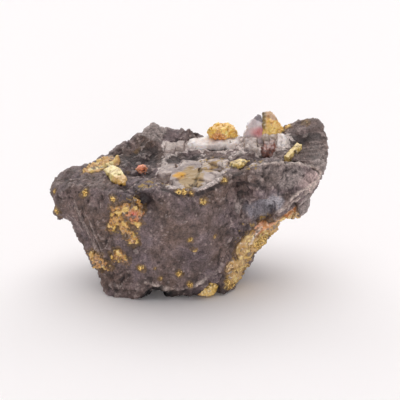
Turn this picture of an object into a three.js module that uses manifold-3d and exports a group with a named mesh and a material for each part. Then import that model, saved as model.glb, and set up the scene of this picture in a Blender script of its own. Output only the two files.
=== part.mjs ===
// A hand specimen of orpiment and realgar: yellow and orange arsenic sulphide crystals with milky
// quartz, grown on a boat-shaped lump of dark grey siliceous rock. Millimetres, +Z up, +X to the
// specimen's right, -Y towards the broad front face. The finished group is moved so that the origin
// is the middle of its bounding box, at the level of its feet.
import * as THREE from "three";
import { ConvexGeometry } from "three/addons/geometries/ConvexGeometry.js";
import { ImprovedNoise } from "three/addons/math/ImprovedNoise.js";
import { mergeVertices } from "three/addons/utils/BufferGeometryUtils.js";
import Module from "manifold-3d";

const wasm = await Module();
wasm.setup();

// ---- driving dimensions ----
const LONGEST_EDGE = 4.7; // of the rock's facets before they are made uneven
const ARRIS_WEAR = 0.35; // share of the way that each corner of a facet moves to its neighbours' middle
const UNEVENNESS = [
  // the size of each swell in the rock's surface and how far it moves it
  { wavelength: 13, depth: 1.4 },
  { wavelength: 5.5, depth: 0.8 },
];
const SEAT_GAP = 0.3; // between a crystal and the rock that it grows on
const CRUST_THICKNESS = 0.9; // of a crust that follows the rock's surface
const SEAM_THICKNESS = 1.1; // of the fibrous seam under the right-hand shoulder
const CRUST_REACH = 60; // further than the rock's surface lies from the middle planes
const BLOCK_PROPORTIONS = [1, 0.85, 0.7]; // of the stubby grains in a granular cluster
const DOME_COVER = 1.35; // radii of height, from the top down, over which the grains are spread
const WELD = 1e-4; // corners nearer than this are one corner

// how the lattice of each primitive and of the noise is turned, to keep it off the object's axes
const SCOOP_TURN = { x: 0.5, z: 0.8 };
const NOISE_TURN = new THREE.Euler(0.6, 0.4, 0.9);
const NOISE_SEEDS = [11.3, 47.9, 83.1]; // one for each of x, y and z

// ---- solids ----
function solidOf(geometry) {
  const bare = geometry.clone();
  bare.deleteAttribute("normal");
  bare.deleteAttribute("uv");
  const merged = mergeVertices(bare, WELD);
  const mesh = new wasm.Mesh({
    numProp: 3,
    vertProperties: merged.attributes.position.array,
    triVerts: new Uint32Array(merged.index.array),
  });
  return new wasm.Manifold(mesh);
}

function geometryOf(solid) {
  const mesh = solid.getMesh();
  const geometry = new THREE.BufferGeometry();
  geometry.setAttribute("position", new THREE.BufferAttribute(mesh.vertProperties.slice(), 3));
  geometry.setIndex(new THREE.BufferAttribute(mesh.triVerts.slice(), 1));
  geometry.computeVertexNormals();
  return geometry;
}

const joined = (...solids) => solids.reduce((whole, solid) => whole.add(solid));
const cut = (solid, ...tools) => tools.reduce((rest, tool) => rest.subtract(tool), solid);

// A flat-faced mass with these corners.
const chunk = (...corners) => {
  const points = corners.map((corner) => new THREE.Vector3(...corner));
  return solidOf(new ConvexGeometry(points));
};

// An egg-shaped scoop with angular sides.
const scoop = (centre, radii) => {
  const ball = new THREE.IcosahedronGeometry(1, 1).rotateX(SCOOP_TURN.x).rotateZ(SCOOP_TURN.z);
  return solidOf(ball.scale(...radii).translate(...centre));
};

// The same surface with its longest edges halved in turn until none is longer than this. Each round
// halves the edges that are the longest of both their faces, so the faces stay well shaped.
function divided(geometry, longest) {
  const points = [];
  for (let i = 0; i < geometry.attributes.position.count; i++) {
    points.push(new THREE.Vector3().fromBufferAttribute(geometry.attributes.position, i));
  }
  let faces = [];
  for (let i = 0; i < geometry.index.count; i += 3) {
    faces.push([0, 1, 2].map((k) => geometry.index.getX(i + k)));
  }
  const length = ([a, b]) => points[a].distanceTo(points[b]);
  const nameOf = ([a, b]) => `${Math.min(a, b)} ${Math.max(a, b)}`;
  const edgesOf = ([a, b, c]) => [[a, b], [b, c], [c, a]];
  const longestOf = (face) => edgesOf(face).reduce((most, e) => (length(e) > length(most) ? e : most));
  for (;;) {
    const claims = new Map();
    for (const edge of faces.map(longestOf).filter((e) => length(e) > longest)) {
      claims.set(nameOf(edge), (claims.get(nameOf(edge)) ?? 0) + 1);
    }
    if (!claims.size) break;
    const middles = new Map();
    faces = faces.flatMap((face) => {
      const agreed = edgesOf(face).findIndex((edge) => claims.get(nameOf(edge)) === 2);
      if (agreed < 0) return [face];
      const [a, b, c] = [0, 1, 2].map((k) => face[(agreed + k) % 3]);
      const edge = nameOf([a, b]);
      if (!middles.has(edge)) {
        points.push(points[a].clone().lerp(points[b], 0.5));
        middles.set(edge, points.length - 1);
      }
      const m = middles.get(edge);
      return [[a, m, c], [m, b, c]];
    });
  }
  const result = new THREE.BufferGeometry().setFromPoints(points);
  result.setIndex(faces.flat());
  return result;
}

// Each corner moved this share of the way to the middle of its neighbours, which blunts the arrises.
function worn(geometry, share) {
  const { position } = geometry.attributes;
  const index = geometry.index.array;
  const sums = Array.from({ length: position.count }, () => ({ total: new THREE.Vector3(), count: 0 }));
  for (let i = 0; i < index.length; i++) {
    const start = i - (i % 3);
    const next = index[start + ((i + 1) % 3)];
    const sum = sums[index[i]];
    sum.total.add(new THREE.Vector3().fromBufferAttribute(position, next));
    sum.count += 1;
  }
  for (let i = 0; i < position.count; i++) {
    const p = new THREE.Vector3().fromBufferAttribute(position, i);
    p.lerp(sums[i].total.divideScalar(sums[i].count), share);
    position.setXYZ(i, p.x, p.y, p.z);
  }
  return geometry;
}

// Smooth noise moves each point, so flat faces swell and hollow and straight edges wander.
const perlin = new ImprovedNoise();
function uneven(geometry) {
  const { position } = geometry.attributes;
  for (let i = 0; i < position.count; i++) {
    const p = new THREE.Vector3().fromBufferAttribute(position, i);
    const moved = p.clone();
    for (const { wavelength, depth } of UNEVENNESS) {
      const q = p.clone().applyEuler(NOISE_TURN).divideScalar(wavelength);
      const push = NOISE_SEEDS.map((seed) => perlin.noise(q.x + seed, q.y + seed, q.z + seed) * depth);
      moved.add(new THREE.Vector3(...push));
    }
    position.setXYZ(i, moved.x, moved.y, moved.z);
  }
  return geometry;
}

// ---- the rock ----
const body = chunk(
  // front rim, left to right
  [-21, -13.5, 27.5], [-14, -16, 28], [-7, -17, 29.5], [-1, -17.2, 28.8], [3.7, -16, 29.8],
  [10, -13.5, 32.5],
  // lip along the bottom of the front face
  [-24.5, -9, 8], [-21, -12, 5], [-11, -15.4, 4.6], [-4, -15.6, 2.8], [1, -15.6, 3.4], [4, -15.2, 5.2],
  [11, -11, 7],
  // left side
  [-26, -8, 13], [-28.4, -6, 16.2], [-26, 3, 20],
  // sole
  [-19, -9, -2], [-4, -11.4, -2], [6, -10.6, -2], [10, -7, -2], [10, 4, -2], [6, 12, -2], [-8, 13, -2],
  [-19, 8, -2],
  // back
  [-22, 14, 16], [-6, 19, 15], [12, 18, 18], [22, 13, 20], [-22, 11, 27], [-10, 16, 31], [4, 17, 31],
  [22, 15, 32],
  // right side, undercut
  [12, -8, 7], [16.2, -6.4, 11.7], [20.8, -4.5, 16.4], [26, -2, 19.8], [28, 4, 21],
);
const leftLobe = chunk(
  [-36.2, -1, 23.8], [-34.8, 2, 25.6], [-31.4, 4, 27], [-28, 7, 26.6], [-23, 9.4, 28.4], [-15, 11, 30.2],
  [-35.6, -3, 22.6], [-34, -4.4, 20], [-30.4, -6, 17.6], [-26, -9.5, 19], [-22, -13, 27.5],
  [-16, -15, 28.5], [-24, -9, 28.5], [-16, -4, 30.5], [-22, 9, 19], [-30, 4, 19.5], [-8, -10, 29],
  [-6, -2, 30], [-6, 6, 28],
);
const lobeNub = scoop([-32.2, -4.8, 18.5], [1.7, 1.7, 2.2]);
const backRidge = chunk(
  [-25, 9, 27.6], [-19, 11, 30.6], [-15, 12, 32.4], [-9.6, 14, 36.4], [-7, 13.5, 36.2], [-4, 14, 34.6],
  [-17, 6.5, 29.6], [-12, 1, 30], [-9, 6.5, 31], [-4, 8, 31.5], [-22, 15, 25], [-15, 17, 27],
  [-5, 19, 28],
);
const backRidgeStep = chunk(
  [-6, 14, 34.8], [-2, 14, 35], [3.2, 14.5, 33.8], [4, 13, 32], [-6, 9, 31], [2, 9.5, 31], [-4, 19, 27],
  [5, 18, 27],
);
const rightBlock = chunk(
  [23.5, 12, 35.4], [28, 12.5, 37.8], [32.8, 11.8, 39.2], [34.4, 8.6, 36.8], [35, 2, 31], [34, -1, 28.4],
  [22.5, 8, 33.5], [20, 1, 31.5], [31, -1, 32], [18, 15, 29], [32.5, 14, 29], [32.5, 4, 23], [20, 4, 21],
);
const shoulder = chunk(
  [10, -13.2, 32.6], [17.4, -10, 33.9], [23, -8.6, 33.8], [28, -7.4, 33], [32, -5.2, 31.2],
  [33.6, -3.5, 29.5], [32.4, -5, 27.2], [30, -5.5, 24.8], [12, -13.6, 28.5], [19, -13, 28],
  [25, -10.5, 25], [12, -3, 28], [17, -5, 33.2], [31, 0, 25], [26, -2, 21], [18, -4, 20],
);
const web = chunk(
  [22, -4, 30.6], [31.6, -3.4, 28.4], [32.4, 3, 28.6], [22, 4, 31], [24, -4, 22], [31, -2, 23.4],
  [31, 3, 23.6],
);
const flank = chunk(
  [29.5, -7, 27], [31.2, -4.6, 24.6], [28.2, -6.8, 21.8], [23, -8.6, 19], [18.4, -8.8, 16.6],
  [21, -10.4, 25], [24, -2, 20], [30, -1, 23], [18, -2, 16.6], [20, -3, 26],
);
const underBump = chunk(
  [31, -2, 22.5], [31.4, -1.5, 20], [29.6, -3.5, 17.4], [26, -4.5, 16.6], [23, -4.8, 18.6],
  [30, -4, 22.5], [24, 3, 20], [29, 4, 22],
);
const lowBump = chunk(
  [19.6, -5.5, 12.4], [18.4, -6.6, 10.2], [15.6, -7.2, 9.6], [14.8, -8, 12.5], [18.6, -7.6, 14],
  [14, -2, 12], [19.4, -1, 14],
);
const frontFoot = chunk(
  [-23.8, -9.5, 8.4], [-23.2, -10.2, 3.4], [-21, -11.6, 0.6], [-19, -13.2, -2], [-13, -14.2, -2],
  [-11, -12.5, -2], [-11.6, -14.6, 5.5], [-17, -13.8, 8.6], [-12, -8, -2], [-20, -6, -2],
);
const rightFoot = chunk(
  [7, -12.2, -2], [10.6, -10, -2], [12, -8.8, 2], [12, -9.8, 5], [7.6, -13, 4], [8, -6, -2], [11, -5, -2],
  [10, -6, 6],
);

// ---- what has broken away ----
const hollowUnderLip = chunk(
  [-11.4, -20, -3], [-4.6, -20, -3], [-5.2, -20, 2.4], [-8, -20, 4], [-10.8, -20, 4.4], [-10.4, -7, -3],
  [-6, -7, -3], [-6.4, -8, 1.6], [-10, -8, 2.6],
);
const hollowAtLump = chunk(
  [1, -20, -3], [7.2, -20, -3], [7.2, -20, 4.6], [4.4, -20, 5.2], [2, -20, 3.4], [2, -8, -3],
  [6, -8, -3], [4.4, -8, 3],
);
const archBetweenFeet = chunk(
  [-4.8, -20, -3], [1, -20, -3], [0.6, -20, 0.6], [-4.2, -20, 0.6], [-4, -8, -3], [0, -8, -3], [-2, -9, 0.4],
);
const hollowUnderRim = chunk(
  [-13.6, -20, 28.6], [-8, -20, 29], [-6.6, -20, 25], [-9.4, -20, 21.4], [-13.4, -20, 23.4],
  [-11.6, -12.6, 27], [-9.2, -12.8, 26], [-10.6, -13, 24.6],
);
const hollowInLobe = chunk(
  [-25.6, -17, 28], [-19.6, -19, 28], [-19, -19, 25], [-24.4, -17, 24], [-23, -10.4, 26.6],
  [-21, -11, 26.6], [-22, -10.8, 25],
);
const valley = chunk(
  [9.4, -20, 31.4], [15.6, -20, 29.6], [17, -18, 24], [14, -20, 18], [10.6, -20, 14], [11.4, -9.4, 29.6],
  [14.6, -8.8, 27], [12.4, -9.6, 19],
);
const chipOnFlank = chunk(
  [14.4, -18, 27], [22.4, -16, 26.4], [20, -16, 19], [15, -18, 16], [15.4, -9, 25.6], [20.6, -7.6, 25.2],
  [17.4, -7.6, 18.6],
);
const pocketInTop = scoop([-1.2, 3.4, 33], [3.6, 3.2, 2.3]);
const bedOfFrontQuartz = chunk(
  [-8.6, -15, 37], [-4, -17.6, 37], [4, -17.4, 37], [9.8, -12.4, 37], [10.6, -3, 37], [-9, -1, 37],
  [-7.8, -8, 29], [-4, -15.4, 28.6], [2.4, -15.8, 28.9], [7.8, -11.6, 31], [8.4, -5, 31.2],
  [-7.6, -3, 29], [-1, -9, 28.4],
);
const grooveBehindShoulder = chunk(
  [15, -5, 38], [32, -3, 37], [31.5, 2, 37], [16, 2, 38], [18, -2.4, 31.8], [29.5, -1, 31.2],
  [29, -0.2, 31.2], [18, -0.6, 31.8],
);
const recessInBlock = chunk(
  [22, -1, 38.5], [30.8, 0, 38.5], [30, 7.6, 36.6], [24, 7.8, 36], [24, 2, 34.6], [29.6, 2.4, 34.2],
  [24.4, 5.6, 33.8], [28.8, 5.8, 33.8],
);
const scoopBehindTop = scoop([10, 23, 32], [9, 5.5, 8]);
const scoopInBack = scoop([-16, 23, 13], [9, 7, 9]);
const scoopOffBackCorner = scoop([-30, 17, 14], [9, 8, 14]);
const scoopInBackMiddle = scoop([4, 26, 17], [12, 8, 8]);
const scoopUnderBlock = scoop([27, 20, 23], [8, 7, 8]);

const masses = joined(
  body, leftLobe, lobeNub, backRidge, backRidgeStep, rightBlock, shoulder, web, flank, underBump, lowBump,
  frontFoot, rightFoot,
);
const broken = cut(
  masses,
  hollowUnderLip, hollowAtLump, archBetweenFeet, hollowUnderRim, hollowInLobe, valley, chipOnFlank,
  pocketInTop, bedOfFrontQuartz, grooveBehindShoulder, recessInBlock, scoopBehindTop, scoopInBack,
  scoopOffBackCorner, scoopInBackMiddle, scoopUnderBlock,
);
const weathered = solidOf(uneven(worn(divided(geometryOf(broken), LONGEST_EDGE), ARRIS_WEAR)));

// The feet are cut flat, so that the lump rests on them. The cutter only has to be bigger than the rock.
const GROUND = { side: 120, depth: 20 };
const ground = new THREE.BoxGeometry(GROUND.side, GROUND.side, GROUND.depth);
const rock = cut(weathered, solidOf(ground.translate(0, 0, -GROUND.depth / 2)));

// ---- growing crystals on the rock ----
// Crumbs that a cut leaves loose are dropped.
const largest = (solid) =>
  solid.decompose().reduce((most, lump) => (lump.volume() > most.volume() ? lump : most));

// The part of a crystal that stands clear of what it grows on.
const ALL_WAYS = [[1, 0, 0], [-1, 0, 0], [0, 1, 0], [0, -1, 0], [0, 0, 1], [0, 0, -1]];
const SEAT_SHIFTS = ALL_WAYS.map((way) => way.map((v) => v * SEAT_GAP));
function grown(crystal, ...hosts) {
  const tools = hosts.flatMap((host) => SEAT_SHIFTS.map((shift) => host.translate(shift)));
  return largest(cut(crystal, ...tools));
}

// A crust that follows the rock under this outline, which is seen from the front or from above.
function crust(view, outline, outwards, thickness = CRUST_THICKNESS) {
  const shape = new THREE.Shape(outline.map(([across, up]) => new THREE.Vector2(across, up)));
  const prism = new THREE.ExtrudeGeometry(shape, { depth: CRUST_REACH, bevelEnabled: false });
  if (view === "front") prism.rotateX(Math.PI / 2);
  const way = new THREE.Vector3(...outwards).normalize();
  const lifted = (height) => rock.translate(way.clone().multiplyScalar(height).toArray());
  const layer = lifted(SEAT_GAP + thickness).intersect(solidOf(prism));
  return largest(cut(layer, lifted(SEAT_GAP), rock));
}

// A dome with stubby grains all over it, turned every way and spread evenly over all but its underside.
const GOLDEN_ANGLE = Math.PI * (3 - Math.sqrt(5));
function granularDome(centre, radii, grain, count, seed) {
  THREE.MathUtils.seededRandom(seed);
  const turn = () => THREE.MathUtils.seededRandom() * Math.PI;
  const core = new THREE.IcosahedronGeometry(1, 0).scale(...radii).translate(...centre);
  const size = BLOCK_PROPORTIONS.map((share) => share * grain);
  const grains = [];
  for (let i = 0; i < count; i++) {
    const up = 1 - (DOME_COVER * (i + 0.5)) / count;
    const out = Math.sqrt(1 - up * up);
    const angle = i * GOLDEN_ANGLE;
    const around = [Math.cos(angle) * out, Math.sin(angle) * out, up];
    const place = around.map((v, k) => centre[k] + v * radii[k]);
    const block = new THREE.BoxGeometry(...size).rotateX(turn()).rotateY(turn());
    grains.push(solidOf(block.translate(...place)));
  }
  return joined(solidOf(core), ...grains);
}

// ---- milky quartz ----
const quartzLedge = grown(
  joined(
    chunk(
      [0.4, 6.2, 29.4], [7, 5.6, 29.4], [7.2, 12, 29.4], [0.6, 11.6, 29.4], [0.6, 7, 32.4],
      [3.2, 6.2, 33], [6.6, 6.6, 32.8], [1, 11.2, 33], [7, 12, 34], [3.4, 9.6, 33.8],
    ),
    chunk(
      [6, 5.6, 29.4], [11.8, 5, 29.4], [12.8, 11.6, 29.4], [6.2, 12.2, 29.4], [6.2, 6.6, 33.2],
      [11.2, 6, 33.4], [13, 7, 32.4], [6.6, 11.6, 34.2], [12.6, 11.2, 34.2], [9.2, 8.6, 34.3],
    ),
    chunk(
      [-1, 7.6, 29.4], [1.6, 7.2, 29.4], [1.6, 11, 29.4], [-0.8, 11, 29.4], [-0.8, 8.2, 32.4],
      [1.4, 7.8, 33.2], [-0.4, 10.6, 33.2], [1.6, 10.6, 33.6],
    ),
  ),
  rock,
);
const quartzLeft = grown(
  joined(
    chunk(
      [-7, 4, 28.2], [-3.6, 3.6, 28.2], [-3.4, 8.8, 28.2], [-6.4, 8.8, 28.2], [-6.6, 5, 32],
      [-4, 4.4, 32.2], [-6.2, 8.2, 33.2], [-3.2, 8, 32.8], [-4.8, 6.4, 33.3],
    ),
    chunk(
      [-4, 5.4, 28.2], [-1.2, 5.8, 28.2], [-1, 9, 28.2], [-3.8, 9.2, 28.2], [-3.6, 6.2, 32.4],
      [-1.6, 6.2, 33], [-1.4, 8.6, 33.6], [-3.2, 8.8, 33.4],
    ),
    chunk(
      [-8, 1, 27.2], [-4.8, 0.6, 27.2], [-4.4, 4.8, 27.2], [-7.8, 4.8, 27.2], [-7.4, 1.8, 30.6],
      [-5.2, 1.4, 31], [-4.8, 4.4, 31.8], [-7.4, 4.4, 31.4],
    ),
  ),
  rock,
);
const quartzFront = grown(
  joined(
    chunk(
      [-8, -7.6, 27], [-3.6, -8, 27], [-3.4, -1.6, 27], [-7.8, -2, 27], [-7.8, -7, 30.2],
      [-3.8, -7.4, 30.6], [-7, -2.4, 31], [-3.4, -2, 31.4],
    ),
    chunk(
      [-5.4, -12.4, 27], [-2.8, -16, 27], [2.2, -16.4, 27], [2.4, -6, 27], [-4, -6, 27],
      [-4.6, -14, 29.4], [-2.4, -15.4, 29.6], [1.8, -15.8, 29.9], [-4.6, -9, 30.8], [2, -8.8, 31.2],
      [-3.8, -6, 31.2], [2.2, -6, 31.8],
    ),
    chunk(
      [-3.6, -7, 28], [2.8, -7.2, 28], [3.2, -2, 28], [-2, -2, 28], [-2.8, -6.4, 31.5], [2.6, -6.6, 31.9],
      [-1.6, -2.8, 32.2], [3, -3, 32.2],
    ),
    chunk(
      [2, -9.8, 28], [9.2, -9.6, 28], [9.6, -5, 28], [2.4, -5, 28], [3, -9.2, 32.2], [8.6, -9, 32.9],
      [9.4, -5.6, 33.4], [3, -5.6, 32.7], [6, -7, 33.3],
    ),
    chunk(
      [1.6, -16.4, 27.6], [6.8, -14, 28], [7.6, -10, 28], [2, -9, 28], [1.8, -15.8, 30.3],
      [6.6, -13.4, 31.2], [7.6, -10.6, 32.3], [3, -9.6, 32.2], [1.6, -11.6, 31.4],
    ),
  ),
  rock,
);
const quartzMiddle = grown(
  chunk(
    [13.4, 1.2, 28.6], [17.2, 0.8, 28.6], [17.4, 7.6, 28.6], [13.6, 8, 28.6], [13.4, 2, 33.2],
    [16.8, 1.6, 33.6], [13.8, 7.6, 34.4], [17, 7.4, 34.8], [15.4, 4, 34.6],
  ),
  rock,
);
const quartzRight = grown(
  joined(
    chunk(
      [22, 3.6, 28.4], [24.4, 4.2, 28.4], [24.8, 8.8, 28.4], [22.2, 8.8, 28.4], [21.8, 4.4, 33.4],
      [24.2, 4.8, 33.6], [22.2, 8.2, 35.6], [24.2, 8.2, 35.4],
    ),
    chunk(
      [23.6, 8, 29.4], [26, 8, 29.4], [26.2, 11, 29.4], [23.8, 11, 29.4], [23.8, 8.4, 34.8],
      [25.8, 8.2, 34.4], [25.6, 10.6, 36], [24, 10.4, 36.2],
    ),
  ),
  rock,
);
const quartzCrystal = grown(
  joined(
    chunk(
      [13.6, 9.6, 28.2], [16, 8.6, 28.2], [18.4, 9.4, 28.2], [18.6, 12, 28.2], [16.2, 13.4, 28.2],
      [13.8, 12.4, 28.2], [14.4, 10, 36.8], [16.2, 9.2, 36.6], [18, 9.8, 37.6], [17.8, 11.6, 37.8],
      [16.2, 12.6, 37.2], [14.6, 12, 37], [16.8, 10.4, 39.4], [17.4, 11.2, 39.5],
    ),
    chunk(
      [13.3, 10.2, 28.2], [14.6, 9.4, 28.2], [14.8, 12, 28.2], [13.4, 12, 28.2], [13.6, 10.4, 34.8],
      [14.6, 9.8, 35.6], [14.6, 11.8, 35.8], [13.8, 11.8, 35],
    ),
  ),
  rock,
  quartzLedge,
);

// ---- orpiment ----
const orpimentCrystal = grown(
  joined(
    chunk(
      [18.8, 9.4, 29.1], [22.8, 9, 29.1], [24, 10.6, 29.1], [22.6, 12.6, 29.1], [19, 12.4, 29.1],
      [18.6, 9.8, 36.9], [18.9, 9.6, 39.7], [20.6, 9.4, 40.3], [21.8, 9.4, 39], [23.4, 10, 36.3],
      [23.8, 10.4, 34.7], [18.8, 11.8, 39.9], [20.4, 12, 40.4], [21.6, 12, 39.1], [23, 12, 36.1],
    ),
    chunk(
      [19.2, 8.8, 32.1], [22, 8.6, 32.1], [22.6, 10, 32.1], [19.4, 10, 32.1], [19.4, 9, 35.3],
      [21.4, 8.9, 36.5], [22.4, 9.2, 34.9], [21, 10, 37.1],
    ),
  ),
  rock,
  quartzCrystal,
);
const CLUSTER = { centre: [8.2, 10.2, 33.8], radii: [3, 2.4, 2.9], grain: 2, grains: 11, seed: 7 };
const orpimentCluster = grown(
  granularDome(CLUSTER.centre, CLUSTER.radii, CLUSTER.grain, CLUSTER.grains, CLUSTER.seed),
  rock,
  quartzLedge,
);
const orpimentBladeLeft = grown(
  chunk(
    [-21.2, -3.4, 27.6], [-19.6, -2, 27.6], [-16.8, -4.8, 27.6], [-15, -9.4, 26.6], [-16.2, -11.2, 26.6],
    [-19.2, -7.2, 26.6], [-21.2, -3.6, 30.1], [-19.5, -2.3, 31], [-16.9, -5, 31], [-15.1, -9.5, 30.1],
    [-16.2, -11, 29.6], [-19.2, -7.2, 30.1],
  ),
  rock,
);
const orpimentCrustLeft = crust(
  "top",
  [
    [-26.9, 1.6], [-25.3, 3.1], [-23.4, 5.1], [-22, 6.7], [-19.9, 5.9], [-18.2, 2.7], [-18.2, 0],
    [-20, 0.4], [-21.6, 1.6], [-23, 0.3], [-24.4, -1.1], [-26.5, -0.1],
  ],
  [0, 0, 1],
);
const orpimentBladeRight = grown(
  chunk(
    [22.8, -1, 28.3], [24.6, -1.6, 28.3], [28.2, 3, 29.3], [26.6, 4.6, 29.3], [23.1, -0.4, 32.5],
    [24.4, -1.2, 32.3], [25.6, 1.4, 33.5], [28.1, 3.4, 34.1], [26.8, 4.4, 34.5],
  ),
  rock,
);
const orpimentBladeMiddle = grown(
  chunk(
    [9.4, -7, 29.3], [9.6, -8.8, 29.3], [14.6, -8.2, 29.3], [12.2, -6.4, 29.3], [9.6, -6.4, 33.2],
    [9.8, -8.4, 32.9], [12.2, -9, 33.5], [14.8, -8, 34.1], [12.2, -6.6, 34.2],
  ),
  rock,
);
const orpimentPatchFront = crust(
  "front",
  [
    [-18.6, 24], [-17.1, 24.1], [-15.6, 25.2], [-13.9, 25.3], [-13.4, 26.8], [-12.3, 26.1], [-11.3, 24.5],
    [-11.1, 23.5], [-12, 22.4], [-11.6, 21.2], [-12.6, 20], [-13.8, 20.9], [-14.2, 22], [-15.2, 21.3],
    [-15, 19.7], [-14.1, 18.4], [-12.9, 17], [-12.7, 15.7], [-14.2, 15.5], [-15.4, 17.1], [-16.3, 18.6],
    [-16.7, 20.4], [-18, 19.5], [-18.3, 18.2], [-19.6, 18], [-19, 20.5], [-18.4, 22.5],
  ],
  [0, -1, 0],
);
const orpimentSeam = crust(
  "front",
  [
    [27.3, 21], [24.4, 19.4], [21.4, 18.3], [18.1, 17.5], [15.8, 15.9], [14.1, 14.1], [12.4, 12.1],
    [11.6, 10.1], [9.8, 8.3], [9, 6.5], [10.4, 2.6], [12.4, 2.4], [14, 6], [15.4, 9], [17.2, 11.4],
    [19.6, 13.4], [22.6, 15], [25.8, 16.4], [29, 18.4],
  ],
  [0.5, -0.8, -0.35],
  SEAM_THICKNESS,
);
const orpimentCrustFoot = crust(
  "front",
  [
    [-24.6, 10.7], [-22.3, 11.3], [-21.8, 9.8], [-21.1, 8.9], [-19.6, 8.3], [-19.9, 6.9], [-21.7, 6.8],
    [-23.4, 7.3],
  ],
  [-0.3, -1, 0],
);
const orpimentSpotFront = crust(
  "front",
  [[-19, 10.9], [-18.2, 12.5], [-17.2, 13], [-15.7, 11.5], [-15.5, 9.8], [-17.1, 10], [-18.6, 9.7]],
  [0, -1, 0],
);
const orpimentLump = grown(
  chunk(
    [2, -11, 0.5], [6.4, -11, 0.6], [2.4, -14.6, 0.6], [5.8, -14, 0.7], [1.8, -13, 2.4], [6.6, -12.6, 2],
    [3, -13.6, 3.8], [5.2, -13.2, 4.4], [3, -8.5, 3], [5, -8.5, 3.4],
  ),
  rock,
);

// ---- realgar ----
const realgarBrown = grown(
  joined(
    chunk(
      [18.3, 2.4, 28.3], [19.9, 2, 28.3], [20.1, 6.2, 28.3], [18.3, 6.4, 28.3], [18.3, 3, 32.7],
      [19.7, 2.6, 33.1], [18.7, 5.8, 34.3], [19.9, 5.4, 34.7],
    ),
    chunk(
      [19.7, 2.8, 28.3], [21.3, 3, 28.3], [21.5, 6.8, 28.3], [19.7, 6.8, 28.3], [19.7, 3.2, 33.3],
      [21.1, 3.4, 32.9], [20.1, 6.8, 34.9], [21.3, 6.4, 34.5],
    ),
  ),
  rock,
);
const realgarGrain = grown(
  chunk(
    [-12.8, -3.2, 27.7], [-10.8, -3.6, 27.7], [-10.4, -1.4, 27.7], [-12.4, -0.8, 27.7],
    [-12.7, -2.8, 30.3], [-11, -3.3, 30.6], [-10.5, -1.7, 30.7], [-12.2, -1.2, 30.9],
  ),
  rock,
);

// ---- the specimen ----
const specimen = new THREE.Group();
function piece(name, solid, colour, roughness) {
  const material = new THREE.MeshStandardMaterial({ color: colour, roughness, metalness: 0 });
  const mesh = new THREE.Mesh(geometryOf(solid), material);
  mesh.name = name;
  specimen.add(mesh);
}
piece("matrix", rock, "#6a5a59", 0.8);
piece("quartz_ledge", quartzLedge, "#d4c4be", 0.4);
piece("quartz_left", quartzLeft, "#baaba8", 0.4);
piece("quartz_front", quartzFront, "#b5a297", 0.4);
piece("quartz_middle", quartzMiddle, "#b5a9a6", 0.4);
piece("quartz_right", quartzRight, "#cfc4c0", 0.4);
piece("quartz_crystal", quartzCrystal, "#ce978d", 0.25);
piece("orpiment_crystal", orpimentCrystal, "#e7bf79", 0.35);
piece("orpiment_cluster", orpimentCluster, "#d7a75e", 0.5);
piece("orpiment_blade_left", orpimentBladeLeft, "#dbca98", 0.35);
piece("orpiment_crust_left", orpimentCrustLeft, "#bc926b", 0.6);
piece("orpiment_blade_right", orpimentBladeRight, "#c4ac6a", 0.4);
piece("orpiment_blade_middle", orpimentBladeMiddle, "#b8a06a", 0.4);
piece("orpiment_patch_front", orpimentPatchFront, "#c08a3e", 0.55);
piece("orpiment_seam", orpimentSeam, "#bc926b", 0.5);
piece("orpiment_crust_foot", orpimentCrustFoot, "#c09a50", 0.6);
piece("orpiment_spot_front", orpimentSpotFront, "#c9a04a", 0.6);
piece("orpiment_lump", orpimentLump, "#9d8463", 0.5);
piece("realgar_brown", realgarBrown, "#89655c", 0.45);
piece("realgar_grain", realgarGrain, "#c4552e", 0.35);

const bounds = new THREE.Box3().setFromObject(specimen);
const middle = bounds.getCenter(new THREE.Vector3());
specimen.position.set(-middle.x, -middle.y, -bounds.min.z);

export default specimen;
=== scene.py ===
# %% [markdown]
# # A hand specimen of orpiment and realgar
# The real thing is a lump of dark siliceous rock, about 70 mm long. Milky quartz has grown over its
# top, and yellow and orange arsenic sulphides sit on the quartz, in seams and as crusts. The packed
# model gives every mass its place and size. This lesson turns those plain solids into stone: it makes
# the mesh fine, breaks and pits its surface, and gives each mineral its own material.

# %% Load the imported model
import collections
import itertools
import math

import bpy
import numpy as np
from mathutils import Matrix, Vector
from mathutils.bvhtree import BVHTree


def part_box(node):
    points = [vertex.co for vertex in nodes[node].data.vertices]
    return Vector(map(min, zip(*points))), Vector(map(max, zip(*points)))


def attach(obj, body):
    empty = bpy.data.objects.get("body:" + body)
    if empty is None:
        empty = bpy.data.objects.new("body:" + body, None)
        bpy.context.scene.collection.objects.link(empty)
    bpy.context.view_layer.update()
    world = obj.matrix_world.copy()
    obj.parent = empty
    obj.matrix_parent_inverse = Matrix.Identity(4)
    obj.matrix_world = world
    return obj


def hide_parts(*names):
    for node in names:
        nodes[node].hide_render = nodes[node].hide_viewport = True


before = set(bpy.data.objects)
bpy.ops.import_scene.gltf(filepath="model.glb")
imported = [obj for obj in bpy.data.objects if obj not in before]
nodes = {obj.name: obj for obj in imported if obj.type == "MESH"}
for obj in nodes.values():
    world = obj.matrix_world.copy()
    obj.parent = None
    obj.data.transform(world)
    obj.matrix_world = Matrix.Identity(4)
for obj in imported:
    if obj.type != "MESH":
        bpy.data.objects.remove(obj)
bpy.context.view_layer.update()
MM = 0.001
print("solids in the packed model:", len(nodes))

# %% [markdown]
# ## The camera
# A small stone is looked at from a little above with a long lens, so that its proportions aren't
# stretched. The camera is placed by the point it looks at, its distance and its height as an angle,
# and a quaternion turns it, so that nothing has to be set by eye.

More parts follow.
